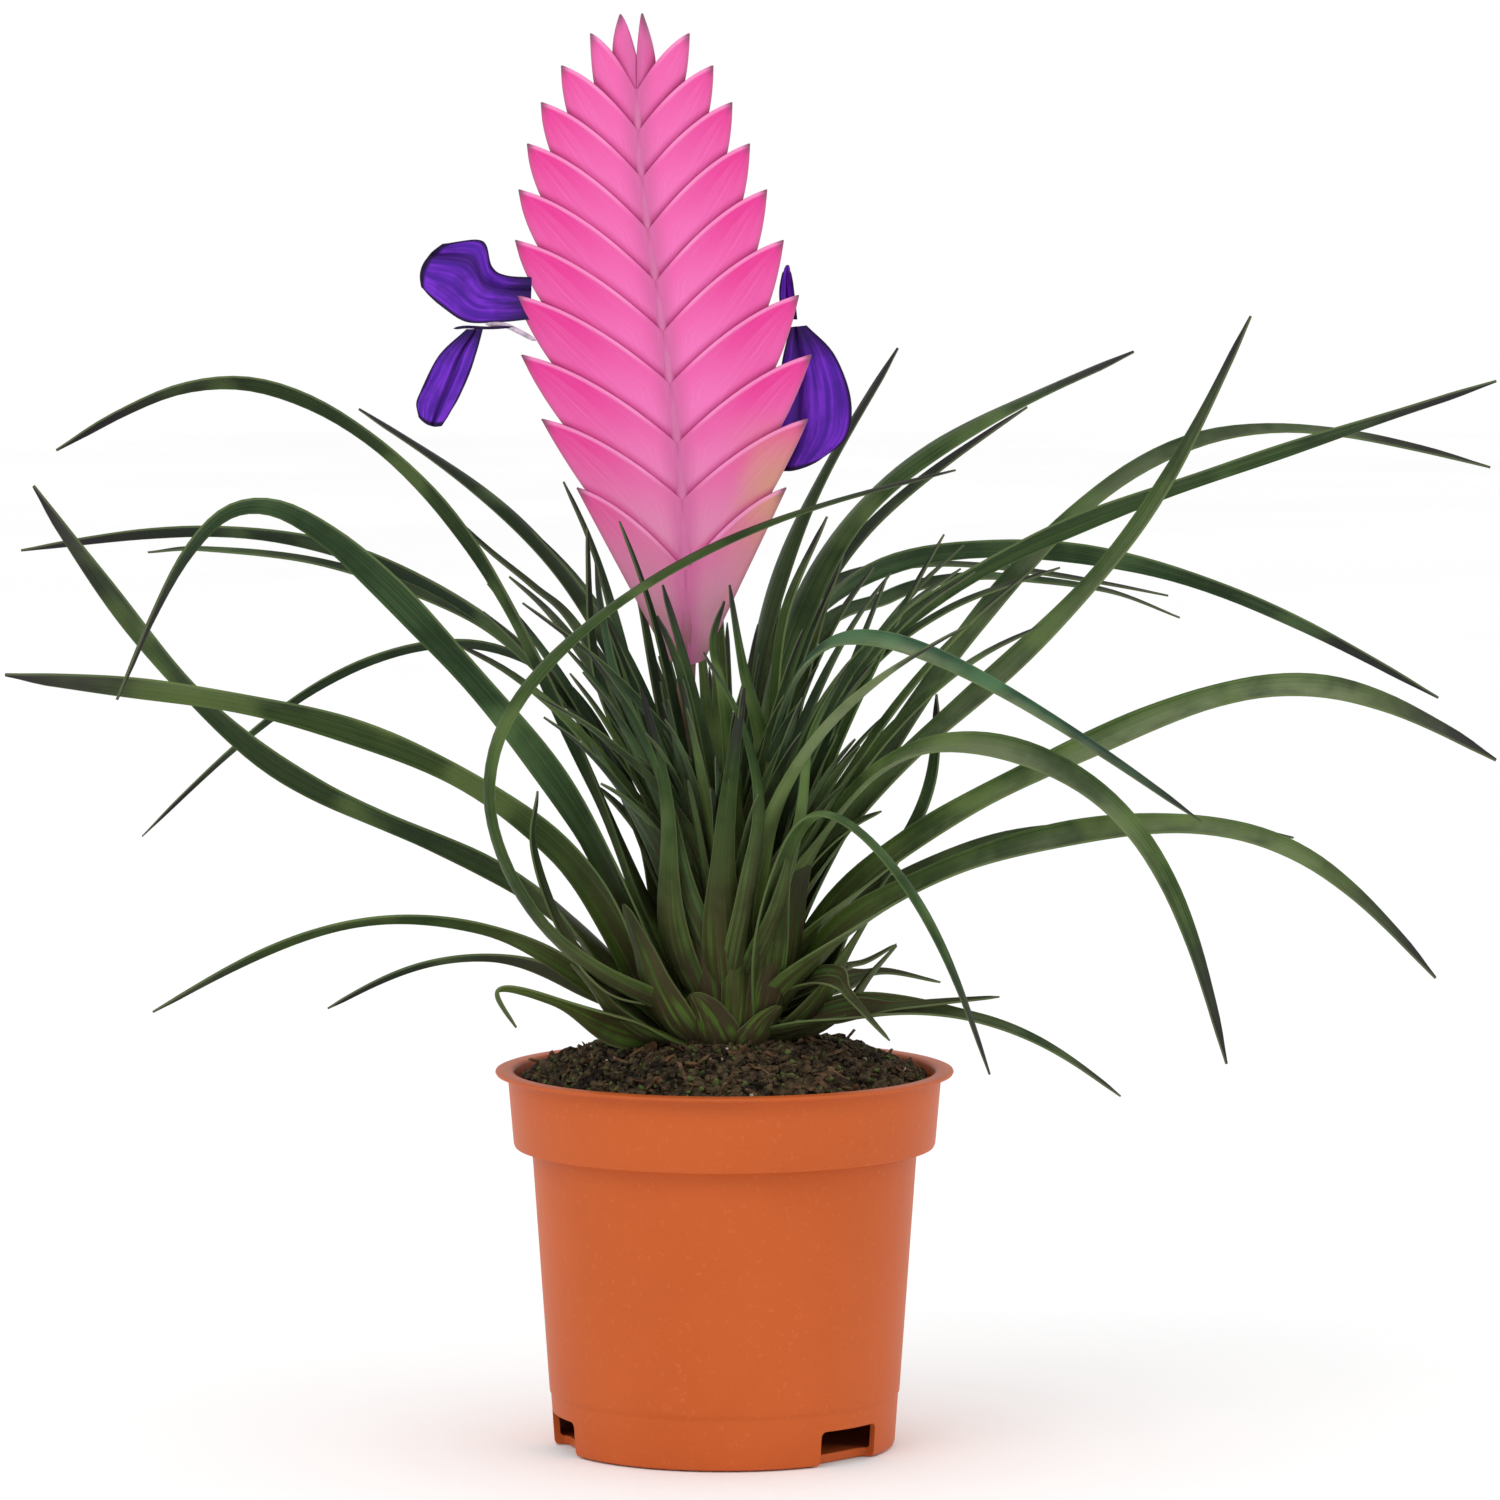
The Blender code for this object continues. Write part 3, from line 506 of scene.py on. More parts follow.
# lesser leaves: seat azimuth in degrees, width in mm, darkness, blueness, then points in mm over the soil line
lesserLeaves = {
    "rearThinLeft": (150, 3.2, 0.8, 0.4, (
        (-4, 3, 14), (-19, 8, 62), (-30, 22, 80), (-38, 28, 87), (-47, 33, 94), (-55, 38, 101))),
    "rearLongSecond": (158, 3.4, 0.85, 0.4, (
        (-5, 3, 12), (-24, 14, 57), (-41, 30, 74), (-57, 42, 83), (-82, 56, 90), (-106, 68, 92), (-118, 74, 91))),
    "leftShortDark": (215, 3.6, 0.85, 0.2, (
        (-8, -6, 4), (-24, -16, 13), (-32, -20, 24), (-37, -22, 40), (-36, -22, 51))),
    "rightLowSecond": (12, 4.0, 0.7, 0.2, (
        (9, 2, 6), (17, 4, 15), (34, 10, 29), (54, 18, 37), (79, 26, 39), (97, 32, 39), (114, 38, 36))),
    "rearThinSecond": (64, 3.0, 0.7, 0.6, (
        (4, 8, 14), (15, 30, 72), (33, 56, 83), (48, 70, 86), (62, 80, 85), (79, 88, 82), (94, 96, 76))),
    "rightThinLow": (330, 2.4, 0.8, 0.3, (
        (9, -5, 3), (19, -10, 5), (30, -18, 8), (40, -24, 10), (53, -30, 12))),
    "rightThinFlat": (20, 2.2, 0.7, 0.2, ((9, 3, 3), (15, 6, 6), (22, 12, 9), (31, 20, 11), (43, 28, 8))),
    "rightHook": (325, 2.6, 0.6, 0.2, (
        (9, -6, 5), (15, -8, 11), (21, -14, 13), (25, -20, 10), (29, -24, 6), (32, -26, 3))),
    "rightThinRise": (20, 2.0, 0.5, 0.2, ((10, 1, 5), (18, 2, 10), (23, 8, 13), (28, 12, 14), (34, 16, 17))),
    "tipBesideSpike": (140, 3.4, 0.7, 0.8, (
        (-4, 4, 14), (-17, 12, 62), (-23, 20, 85), (-27, 24, 97), (-32, 28, 108))),
    "darkBesideSpike": (150, 3.2, 0.9, 0.3, ((-3, 3, 14), (-13, 6, 66), (-16, 10, 82), (-19, 14, 97))),
    "leftUpright": (160, 3.4, 0.85, 0.3, (
        (-4, -1, 12), (-14, -3, 47), (-22, 0, 63), (-26, 4, 77), (-27, 8, 100))),
    "leftGreenInner": (230, 4.2, 0.3, 0.7, (
        (-3, -5, 10), (-7, -9, 36), (-14, -11, 55), (-21, -10, 71), (-24, -8, 85), (-25, -6, 94))),
    "leftCrossing": (240, 3.0, 0.5, 0.6, (
        (2, -7, 12), (2, -13, 36), (-7, -17, 55), (-16, -18, 67), (-26, -17, 77), (-39, -16, 87))),
    "leftFrontThin": (245, 3.4, 0.2, 0.5, (
        (-1, -8, 10), (-8, -17, 30), (-11, -23, 48), (-17, -24, 64), (-26, -22, 78))),
    "frontThin": (272, 3.2, 0.35, 0.3, ((1, -9, 8), (5, -22, 30), (7, -29, 50), (3, -28, 66), (-4, -24, 78))),
    "frontRightThin": (290, 3.4, 0.1, 0.2, (
        (3, -8, 8), (11, -21, 28), (15, -27, 46), (17, -27, 62), (24, -24, 76))),
    "leftCrossingLow": (250, 3.0, 0.6, 0.3, (
        (0, -8, 10), (-4, -15, 34), (-12, -20, 50), (-24, -24, 62), (-36, -26, 70))),
    "beforeFoot": (285, 5.4, 0.25, 0.0, (
        (3, -7, 10), (4, -14, 34), (2, -16, 56), (0, -14, 70), (-2, -12, 79), (0, -11, 87))),
    "beforeStalk": (262, 4.6, 0.7, 0.2, (
        (0, -7, 12), (-3, -13, 40), (-6, -13, 60), (-9, -11, 74), (-13, -9, 84))),
    "beforeStalkSecond": (276, 5.0, 0.5, 0.4, (
        (1, -7, 12), (1, -12, 38), (-3, -12, 58), (-7, -10, 74), (-12, -9, 90))),
    "rightUpright": (330, 4.4, 0.45, 0.1, (
        (5, -4, 12), (9, -8, 40), (10, -9, 62), (12, -8, 84), (20, -4, 103))),
    "rightOfFoot": (300, 4.8, 0.4, 0.1, ((4, -6, 12), (8, -12, 38), (8, -13, 58), (4, -11, 74), (1, -9, 90))),
    "rightThinFan": (340, 3.0, 0.6, 0.4, (
        (6, -3, 12), (13, -6, 46), (22, -8, 68), (34, -8, 84), (46, -6, 93))),
    "rightCrossing": (20, 3.0, 0.7, 0.5, ((5, 1, 12), (14, 3, 50), (27, 5, 71), (44, 8, 84), (66, 12, 92))),
}
# short broad sheaths round the foot: azimuth in degrees, width, height, reach, sideways shift in mm, darkness
footSheaths = (
    (15, 11, 26, 28, 0, 0.5), (45, 12, 34, 24, 0, 0.5), (75, 12, 30, 26, 0, 0.6), (105, 12, 36, 22, 0, 0.6),
    (135, 12, 28, 27, 0, 0.5), (160, 11, 33, 25, 0, 0.5), (188, 10, 22, 30, 0, 0.5),
    (212, 9, 17, 35, 0, 0.5), (352, 9, 19, 34, 0, 0.4), (232, 11, 29, 29, -2, 0.7),
    (336, 11, 25, 30, 2, 0.3), (312, 13, 40, 21, 4, 0.95), (252, 13, 36, 15.5, -3, 0.9),
    (284, 8, 36, 17, 0, 0.05), (262, 15, 11, 17.0, -4, 0.8), (298, 12, 8, 16.0, 4, 0.9),
)
footSheathLine = {
    "seat": 7.0, "sunk": 3.0, "rows": 28, "taper": 0.22,
    # shares of the reach and of the height along it
    "steps": ((0, 0), (0.45, 0.22), (0.68, 0.46), (0.82, 0.72), (1, 1)),
}
# lengths in mm, angles in degrees; every fourth leaf stands in front
innerLeaves = {
    "count": 96, "length": (46, 102), "width": (2.6, 4.2), "lean": (3, 26), "arch": (6, 44), "seat": (2.5, 7.5),
    "frontLength": (44, 74), "seed": 23, "groups": 4, "nextLeaf": 137.5, "scatter": 15, "front": (205, 340),
    "frontEvery": 4, "frontStart": 210, "frontShare": 0.35, "sway": 0.16, "foot": (8, 14), "steps": 8,
    "archPower": 1.6, "dark": (0.1, 0.9), "blue": (0, 0.9), "sheath": 0.55, "rows": 32, "taper": 0.3,
}


def leafFinish():
    finish = Finish("leafSkin", roughness=0.5, Specular_IOR_Level=0.1)
    reach, dark, blue, skyward = finish.marks()
    along = finish.sheet.axis(1)
    across = finish.sheet.axis(0)
    veins = finish.sheet.stretched((22.0, 1.6, 1.0)).noise(1.0, 3.0, 0.6)
    stripes = finish.sheet.stretched((11.0, 2.2, 1.0)).noise(1.0, 2.0, 0.5)
    blotch = finish.place.noise(70.0, 3.0)
    # painted highlight: lighter grey-green where the leaf's face turns up to the sky, more so out along the blade
    paintedSheen = skyward.between(0.25, 0.9) * (reach.between(0.15, 0.9) * 0.55 + 0.25)
    fresh = finish.place.noise(42.0, 2.0).between(0.5, 0.66) * reach.between(0.2, 0.6) * (dark * -0.45 + 0.75)
    foot = reach.between(0.62, 0.15) * stripes.between(0.38, 0.54) * (dark * 0.3 + 0.65)
    tip = (along + blotch * 0.16).between(0.84, 1.06) * reach.between(0.35, 0.7)
    rim = (across - 0.5).maths("ABSOLUTE").between(0.45, 0.5)
    green = layered(
        blue.mixed((0.036, 0.076, 0.013), (0.018, 0.06, 0.034)),
        (reach.between(0.8, 0.15), blue.mixed((0.092, 0.17, 0.018), (0.05, 0.12, 0.04))),
        (veins.between(0.4, 0.62), blue.mixed((0.115, 0.19, 0.04), (0.06, 0.135, 0.075))),
        (paintedSheen, (0.225, 0.27, 0.145)),
        (dark * reach.between(0.05, 0.45), (0.01, 0.016, 0.008)),
        (blotch.between(0.42, 0.7) * 0.65, (0.009, 0.024, 0.007)),
        (fresh, blue.mixed((0.15, 0.215, 0.06), (0.085, 0.19, 0.085))),
        (foot, (0.056, 0.034, 0.021)),
        (reach.between(0.12, 0.0) * 0.6, (0.06, 0.045, 0.02)),
        (tip * 0.9, (0.026, 0.02, 0.026)),
        (rim * 0.5, (0.14, 0.19, 0.07)))
    finish.feed("Base Color", green)
    finish.feed("Roughness", veins * 0.22 + blotch * 0.1 + 0.3)
    finish.bump(veins + stripes * 0.5, 0.4, 0.0004)
    return finish


def turnedToView(centres, sides, directions):
    # one turn about the midrib that shows about the wanted share of the leaf's width from the front
    view = np.array([0.0, 1.0, 0.0])
    middle = slice(len(centres) // 4, None)
    across = unit(np.cross(directions[middle], view))
    best = (1e9, 0.0)
    most = leafSizes["mostTurn"]
    for degrees in range(-most, most + 1, leafSizes["turnStep"]):
        angle = math.radians(degrees)
        side = sides[middle] * math.cos(angle) + np.cross(directions, sides)[middle] * math.sin(angle)
        up = np.cross(directions[middle], side)
        shown = np.abs((side * across).sum(1)).mean()
        cost = (max(0.0, leafSizes["facing"] - shown) ** 2 + leafSizes["turnCost"] * abs(degrees)
                + leafSizes["hiddenCost"] * max(0.0, up[:, 1].mean()))
        best = min(best, (cost, angle))
    return best[1]


def growLeaf(name, centres, sides, width, dark, blue, turn=None, sheath=1.0, rows=leafSizes["rows"], taper=0.4):
    # a channelled blade on the given midrib; it turns itself to the front unless a turn is given
    sizes = leafSizes
    centres = smoothed(centres, rows + 1)
    sides = smoothed(sides, rows + 1)
    directions = unit(np.gradient(centres, axis=0))
    sides = unit(sides - directions * (sides * directions).sum(1)[:, None])
    steps = np.linalg.norm(np.diff(centres, axis=0), axis=1)
    run = np.concatenate(([0.0], np.cumsum(steps)))
    length = run[-1]
    share = run / length
    angle = turnedToView(centres, sides, directions) if turn is None else math.radians(turn)
    angles = (angle * smoothStep(share, *sizes["turnOver"]))[:, None]
    sides = unit(sides * np.cos(angles) + np.cross(directions, sides) * np.sin(angles))
    ups = np.cross(directions, sides)
    foot, wide = sizes["sheathFoot"] * sheath, max(width, sizes["sheath"] * sheath)
    sheathEnd = min(sizes["sheathEnd"], sizes["sheathMost"] * length)
    widths = foot + (wide - foot) * smoothStep(run, 0, sizes["sheathAt"])
    widths = widths + (width - wide) * smoothStep(run, sizes["sheathAt"], sheathEnd)
    point = (1 - smoothStep(share, taper, sizes["taperEnd"])) ** sizes["pointPower"]
    widths *= point * (1 - smoothStep(share, *sizes["point"])) + sizes["pointWidth"]
    footCurl, bladeCurl, tipCurl = (sizes[part + "Curl"] for part in ("foot", "blade", "tip"))
    curl = np.radians(footCurl + (bladeCurl - footCurl) * smoothStep(run, 0, sizes["bladeFrom"])
                      + (tipCurl - bladeCurl) * smoothStep(share, sizes["tipFrom"], 1.0))
    wave = np.sin(run * sizes["waveTurns"] + 7.0 * dark + 3.0 * width / mm) * sizes["wave"]

    def shape(u, v):
        row = np.rint(v * rows).astype(int)
        t = 2 * u - 1
        half = curl[row] * t
        radius = (widths / (2 * curl))[row]
        out = radius * np.sin(half)
        lift = radius * (1 - np.cos(half)) + widths[row] * (sizes["edgeLift"] * np.abs(t) + wave[row] * t)
        return centres[row] + sides[row] * out[:, None] + ups[row] * lift[:, None]

    def marks(u, v):
        row = np.rint(v * rows).astype(int)
        half = curl[row] * (2 * u - 1)
        # how far the face turns up to the sky; the finish paints a highlight from it
        skyward = np.clip(ups[row, 2] * np.cos(half) - sides[row, 2] * np.sin(half), 0, 1)
        return run[row] / sizes["markReach"], np.full(len(u), dark), np.full(len(u), blue), skyward

    return addSheet(name, sizes["columns"], rows, shape, marks, sizes["thickness"])


def alongSide(centres, azimuth):
    angle = math.radians(azimuth)
    return np.tile((-math.sin(angle), math.cos(angle), 0.0), (len(centres), 1))


def fromFoot(co):
    above = max(0.0, co.z - soilLine - leafSizes["footHeight"] - leafSizes["footNear"])
    return math.hypot(co.x, co.y) + 0.3 * above


def buildLeaves(finish):
    nodes = sorted(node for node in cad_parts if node.startswith("leaf_"))
    for node in nodes:
        name = node[len("leaf_"):]
        folds, sides, widths = bladeFromRings(readRings(node, fromFoot))
        drop = min(leafSizes["footDrop"], folds[0][2] - soilLine + leafSizes["leastDrop"])
        start = folds[0] * (leafSizes["footShare"], leafSizes["footShare"], 1.0) - (0, 0, drop)
        dark, blue, share, sheath, taper = leafLooks[name]
        leaf = growLeaf("leaf." + name, np.vstack((start, folds)), np.vstack((sides[0], sides)),
                        widths.max() * share * leafSizes["width"], dark, blue,
                        turn=0 if "sheath" in name else None, sheath=sheath, taper=taper)
        finishPiece(leaf, finish, "leaf", node)
    for name, (azimuth, width, dark, blue, points) in lesserLeaves.items():
        centres = np.array(points, float) * mm + (0, 0, soilLine)
        leaf = growLeaf("lesser." + name, centres, alongSide(centres, azimuth), width * mm, dark, blue,
                        sheath=0.5)
        finishPiece(leaf, finish, "leaf")
    print("leaves", len(nodes), "and", len(lesserLeaves), "lesser ones")


def buildFootSheaths(finish):
    made = []
    seat, sunk = footSheathLine["seat"], footSheathLine["sunk"]
    for index, (azimuth, width, height, reach, shift, dark) in enumerate(footSheaths):
        angle = math.radians(azimuth)
        outward = np.array((math.cos(angle), math.sin(angle), 0))
        tangent = np.array((-math.sin(angle), math.cos(angle), 0))
        centres = np.array([outward * (seat + (reach - seat) * out) + tangent * (shift * out ** 3)
                            + (0, 0, -sunk + (height + sunk) * rise)
                            for out, rise in footSheathLine["steps"]]) * mm
        made.append(growLeaf(f"sheath{index}", centres + (0, 0, soilLine), alongSide(centres, azimuth),
                             width * mm, dark, 0.0, turn=0, sheath=width * mm / leafSizes["sheath"],
                             rows=footSheathLine["rows"], taper=footSheathLine["taper"]))
    finishPiece(joined(made, "footSheaths"), finish, "crown", "crown")
    print("sheaths round the foot", len(made))


def buildInnerLeaves(finish):
    sizes = innerLeaves
    draw = np.random.default_rng(sizes["seed"])
    clusters = [[] for group in range(sizes["groups"])]
    scatter, swayMost, steps = (sizes[key] for key in ("scatter", "sway", "steps"))
    for index in range(sizes["count"]):
        azimuth = (index * sizes["nextLeaf"] + draw.uniform(-scatter, scatter)) % 360
        if index % sizes["frontEvery"] == 0:
            azimuth = sizes["frontStart"] + azimuth * sizes["frontShare"]
        front = sizes["front"][0] < azimuth < sizes["front"][1]
        length = draw.uniform(*sizes["frontLength" if front else "length"]) * mm
        lean, arch = draw.uniform(*sizes["lean"]), draw.uniform(*sizes["arch"])
        seat = draw.uniform(*sizes["seat"]) * mm
        outward = Vector((math.cos(math.radians(azimuth)), math.sin(math.radians(azimuth)), 0))
        sway = Vector((-outward.y, outward.x, 0)) * draw.uniform(-swayMost, swayMost)
        at = outward * seat + Vector((0, 0, soilLine + draw.uniform(*sizes["foot"]) * mm))
        centres = [at]
        for step in range(steps):
            share = step / (steps - 1)
            angle = math.radians(lean + arch * share ** sizes["archPower"])
            rise = Vector((0, 0, math.cos(angle)))
            at = at + (outward * math.sin(angle) + rise + sway * step / (steps - 1)) * (length / steps)
            centres.append(at)
        centres = np.array([point[:] for point in centres])
        width = draw.uniform(*sizes["width"]) * mm
        dark, blue = draw.uniform(*sizes["dark"]), draw.uniform(*sizes["blue"])
        leaf = growLeaf(f"inner{index}", centres, alongSide(centres, azimuth), width, dark, blue,
                        sheath=sizes["sheath"], rows=sizes["rows"], taper=sizes["taper"])
        clusters[index % sizes["groups"]].append(leaf)
    for index, cluster in enumerate(clusters):
        finishPiece(joined(cluster, f"innerLeaves.{index + 1}"), finish, "leaf")
    print("inner leaves", sizes["count"])


bractSizes = {
    "rows": 34, "columns": 30, "thickness": 0.35 * mm, "bulge": 0.45 * mm, "flare": 0.22 * mm, "flareFrom": 0.86,
    # from each tip down to where its free edge meets the stalk, in mm
    "drops": (11.0, 12.5, 14.5, 16.5, 17.6, 17.6, 17.0, 17.0, 15.5, 16.0),
    "seam": 0.42, "seamGap": 0.15 * mm, "footOpening": 2.5 * mm, "seamOpening": 3.3 * mm, "tipOpening": 0.22 * mm,
    "edgePulls": ((0.74, 0, 0.6), (0.36, 0, 0.13)), "tuck": 3 * mm, "under": 8 * mm, "linePoints": 90,
    # how far in from the rim, cover and fold, and out from the stalk, the finish's marks reach
    "rimReach": 12 * mm, "coverReach": 6 * mm, "foldReach": 6 * mm, "outReach": 27.0 * mm,
    # the two small ones at the very top: the tip's place from the stalk's line, its height over the soil line
    "topTips": ((-2.2, 200.4), (2.0, 200.6)), "topDrop": 8.0, "topFoot": 178.0, "topShift": 0.9 * mm,
    "topPulls": ((5.2, 9), (2.6, -7)),
}


def bractFinish():
    finish = Finish("bractSkin", roughness=0.48, Specular_IOR_Level=0.12, Subsurface_Weight=0.05,
                    Subsurface_Scale=0.0015)
    rim, covered, outer, keel = finish.marks()
    height = finish.place.axis(2)
    sidePlace = finish.place.axis(0)
    veins = finish.sheet.stretched((40.0, 2.0, 1.0)).noise(1.0, 3.0, 0.6)
    cloud = finish.place.noise(90.0, 3.0)
    low = height.between(0.21, 0.16)
    pale = outer.between(0.7, 0.12) * 0.55 + rim.between(0.05, 0.75) * 0.5
    green = height.between(0.206, 0.188) * (sidePlace + cloud * 0.01).between(0.003, 0.016) * 0.9
    pink = layered(
        low.mixed((0.735, 0.042, 0.275), (0.56, 0.11, 0.25)),
        (pale, low.mixed((0.83, 0.185, 0.48), (0.64, 0.27, 0.39))),
        (green, (0.6, 0.31, 0.19)),
        (height.between(0.176, 0.15) * cloud.between(0.4, 0.65) * 0.5, (0.33, 0.25, 0.11)),
        (outer.between(0.16, 0.0) * 0.8, (0.57, 0.13, 0.32)),
        # painted shadow: darker magenta just above the free edge of the bract that lies over this one
        (covered.between(0.3, 0.0) * 0.65, (0.5, 0.03, 0.19)),
        (veins.between(0.5, 0.72) * 0.14, (0.9, 0.34, 0.62)),
        (cloud.between(0.5, 0.75) * 0.14, (0.66, 0.07, 0.3)),
        # painted highlight: a pale pink line along the outer free edge, where it curls out to the light
        (rim.between(0.075, 0.025) * outer.between(0.05, 0.3) * 0.7, (0.9, 0.33, 0.61)),
        (keel.between(0.15, 0.0) * 0.5, (0.33, 0.14, 0.2)),
        (keel.between(0.3, 0.0) * rim.between(0.22, 0.0) * 0.75, (0.13, 0.055, 0.08)))
    finish.feed("Base Color", pink)
    finish.feed("Roughness", veins * 0.15 + 0.4)
    finish.bump(veins, 0.22, 0.0003)
    return finish


def curve(points, count):
    a, b, c, d = (np.array(point, float) for point in points)
    t = np.linspace(0, 1, count)[:, None]
    return (1 - t) ** 3 * a + 3 * t * (1 - t) ** 2 * b + 3 * t * t * (1 - t) * c + t ** 3 * d


def distanceToLine(points, line):
    return np.linalg.norm(points[:, None] - line[None], axis=2).min(1)


def stalkSections():
    # height, x and radius of the stalk at each of its sections
    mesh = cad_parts["flower_stalk"].data
    points = np.array([vertex.co[:] for vertex in mesh.vertices])
    levels = sorted(set(np.round(points[:, 2], 5)))
    sections = [points[np.abs(points[:, 2] - level) < 2e-5] for level in levels]
    lows, highs = (np.array([end(part[:, 0]) for part in sections]) for end in (np.min, np.max))
    return np.array(levels), (lows + highs) / 2, (highs - lows) / 2


def bractEdge(tip, direction, drop, footHeight, stalkX):
    # the free edge: up along the stalk to the seam, then out to the tip
    sizes = bractSizes
    rows = sizes["rows"]
    seamRow = int(sizes["seam"] * rows)
    heights = np.linspace(footHeight, tip[2] - drop, seamRow + 1)
    gap = direction * sizes["seamGap"]
    along = np.stack((stalkX(heights) + gap, 0 * heights, heights), axis=1)
    seam = along[-1]
    first, second = (tip + (seam - tip) * pull for pull in sizes["edgePulls"])
    return np.vstack((along[:-1], curve((seam, first, second, tip), rows - seamRow + 1))), seamRow


def bractSheet(name, tip, direction, drop, footHeight, fold, cover, stalkX):
    sizes = bractSizes
    rows, seamOpening = sizes["rows"], sizes["seamOpening"]
    edge, seamRow = bractEdge(tip, direction, drop, footHeight, stalkX)
    steps = np.arange(rows + 1)
    footOpening, tipOpening = sizes["footOpening"], sizes["tipOpening"]
    opening = np.where(
        steps <= seamRow, footOpening + (seamOpening - footOpening) * steps / seamRow,
        tipOpening + (seamOpening - tipOpening) * (1 - (steps - seamRow) / (rows - seamRow)) ** 0.85)

    def shape(u, v):
        row = np.rint(v * rows).astype(int)
        reach = np.abs(2 * u - 1)
        at = fold[row] + (edge[row] - fold[row]) * reach[:, None]
        fade = np.minimum(1.0, opening[row] / seamOpening * 1.5)
        deep = opening[row] * reach ** 0.9 + sizes["bulge"] * np.sin(np.pi * reach) * fade
        deep += sizes["flare"] * smoothStep(reach, sizes["flareFrom"], 1.0) * fade
        at[:, 1] = np.sign(u - 0.5) * deep
        return at

    def marks(u, v):
        flat = shape(u, v)[:, ::2]
        count = sizes["linePoints"]
        rim = distanceToLine(flat, smoothed(edge[seamRow:, ::2], count)) / sizes["rimReach"]
        # the distance from the edge of the bract lying over this one sets the painted shadow under that edge
        covered = np.ones(len(u)) if cover is None else distanceToLine(flat, cover) / sizes["coverReach"]
        keel = distanceToLine(flat, smoothed(fold[:, ::2], count)) / sizes["foldReach"]
        outer = np.abs(flat[:, 0] - stalkX(flat[:, 1])) / sizes["outReach"]
        return [np.clip(values, 0, 1) for values in (rim, covered, outer, keel)]

    return addSheet(name, sizes["columns"], rows, shape, marks, sizes["thickness"])


def buildSpike():
    sizes = bractSizes
    finish = bractFinish()
    levels, middles = stalkSections()[:2]

    def stalkX(height):
        return np.interp(height, levels, middles)

    rows = sizes["rows"]
    count = sum(node.startswith("bract_left_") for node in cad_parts)
    drops = [drop * mm for drop in sizes["drops"]]
    for side, direction in (("left", -1), ("right", 1)):
        folds = []
        for index in range(count):
            rings = readRings(f"bract_{side}_{index + 1}", lambda co: -co.z)[::-1]
            middle = [ring[np.argsort(ring[:, 1])[2:4]].mean(0) for ring in rings]
            folds.append(smoothed(middle, rows + 1) * (1, 0, 1))
        for index, fold in enumerate(folds):
            tip = fold[-1]
            foot, cover = fold[0][2] - 1 * mm, None
            if index + 1 < count:                    # the next bract's free edge lies over this one
                tipBelow = folds[index + 1][-1]
                foot = tipBelow[2] - drops[index + 1] - sizes["tuck"]
                below, seamRow = bractEdge(tipBelow, direction, drops[index + 1], foot - sizes["under"],
                                           stalkX)
                # the painted shadow on this bract runs along that edge
                cover = smoothed(below[seamRow:, ::2], sizes["linePoints"])
            bract = bractSheet(f"bract.{side}.{index + 1}", tip, direction, drops[index],
                               min(foot, fold[0][2]), fold, cover, stalkX)
            finishPiece(bract, finish, "bract", f"bract_{side}_{index + 1}")
    tops = []
    foot = soilLine + sizes["topFoot"] * mm
    start = np.array((stalkX(foot), 0.0, foot))
    for (out, up), direction in zip(sizes["topTips"], (-1, 1)):
        height = soilLine + up * mm
        tip = np.array((stalkX(height) + out * mm - sizes["topShift"], 0.0, height))
        first, second = (end + (direction * aside * mm, 0, rise * mm)
                         for end, (aside, rise) in zip((start, tip), sizes["topPulls"]))
        fold = curve((start, first, second, tip), rows + 1)
        tops.append(bractSheet("top", tip, direction, sizes["topDrop"] * mm, foot, fold, None, stalkX))
    finishPiece(joined(tops, "bract.top"), finish, "bract", "bract_top")
    print("bracts", 2 * count, "and the closed ones at the top")


stalkSizes = {"segments": 32, "widen": 0.5 * mm, "depth": 3.5 * mm, "widenFrom": 0.142, "widenTo": 0.165}


def buildStalk():
    finish = Finish("stalkSkin", roughness=0.5, Specular_IOR_Level=0.25)
    height = finish.place.axis(2)
    grain = finish.place.stretched((900.0, 900.0, 60.0)).noise(1.0)
    mauve = (grain.between(0.4, 0.7) * 0.35).mixed((0.6, 0.16, 0.35), (0.52, 0.1, 0.27))
    skin = layered(
        height.between(0.122, 0.15).mixed((0.07, 0.12, 0.03), (0.3, 0.14, 0.12)),
        (grain.between(0.4, 0.7) * 0.4, (0.16, 0.07, 0.06)),
        (height.between(0.15, 0.172), mauve))
    finish.feed("Base Color", skin)
    finish.bump(grain, 0.3, 0.0004)
    levels, middles, radii = stalkSections()
    stalk = startRing("flowerStalk", stalkSizes["segments"], radii[0], (middles[0], 0, levels[0]))
    sections = list(zip(levels, middles, radii))
    for (levelBefore, middleBefore, radiusBefore), (level, middle, radius) in zip(sections, sections[1:]):
        bpy.ops.mesh.extrude_region_move(
            TRANSFORM_OT_translate={"value": (middle - middleBefore, 0, level - levelBefore)})
        share = radius / radiusBefore
        bpy.ops.transform.resize(value=(share, share, 1.0), center_override=(middle, 0, level))
    endRings()
    for vertex in stalk.data.vertices:               # broader between the bracts, as their bases clasp it
        middle, radius = np.interp(vertex.co.z, levels, middles), np.interp(vertex.co.z, levels, radii)
        share = float(smoothStep(vertex.co.z, stalkSizes["widenFrom"], stalkSizes["widenTo"]))
        vertex.co.x = middle + (vertex.co.x - middle) * (1 + share * stalkSizes["widen"] / radius)
        vertex.co.y *= 1 + share * (stalkSizes["depth"] / radius - 1)
    finishPiece(stalk, finish, "stalk", "flower_stalk")


petalSizes = {
    "rows": 30, "columns": 20, "thickness": 0.3 * mm, "cup": 1.1, "creaseDepth": 0.7, "creaseWidth": 0.07,
    "endFrom": 0.7, "rimFrom": 0.72, "threadSides": 10, "threadRows": 16,
}
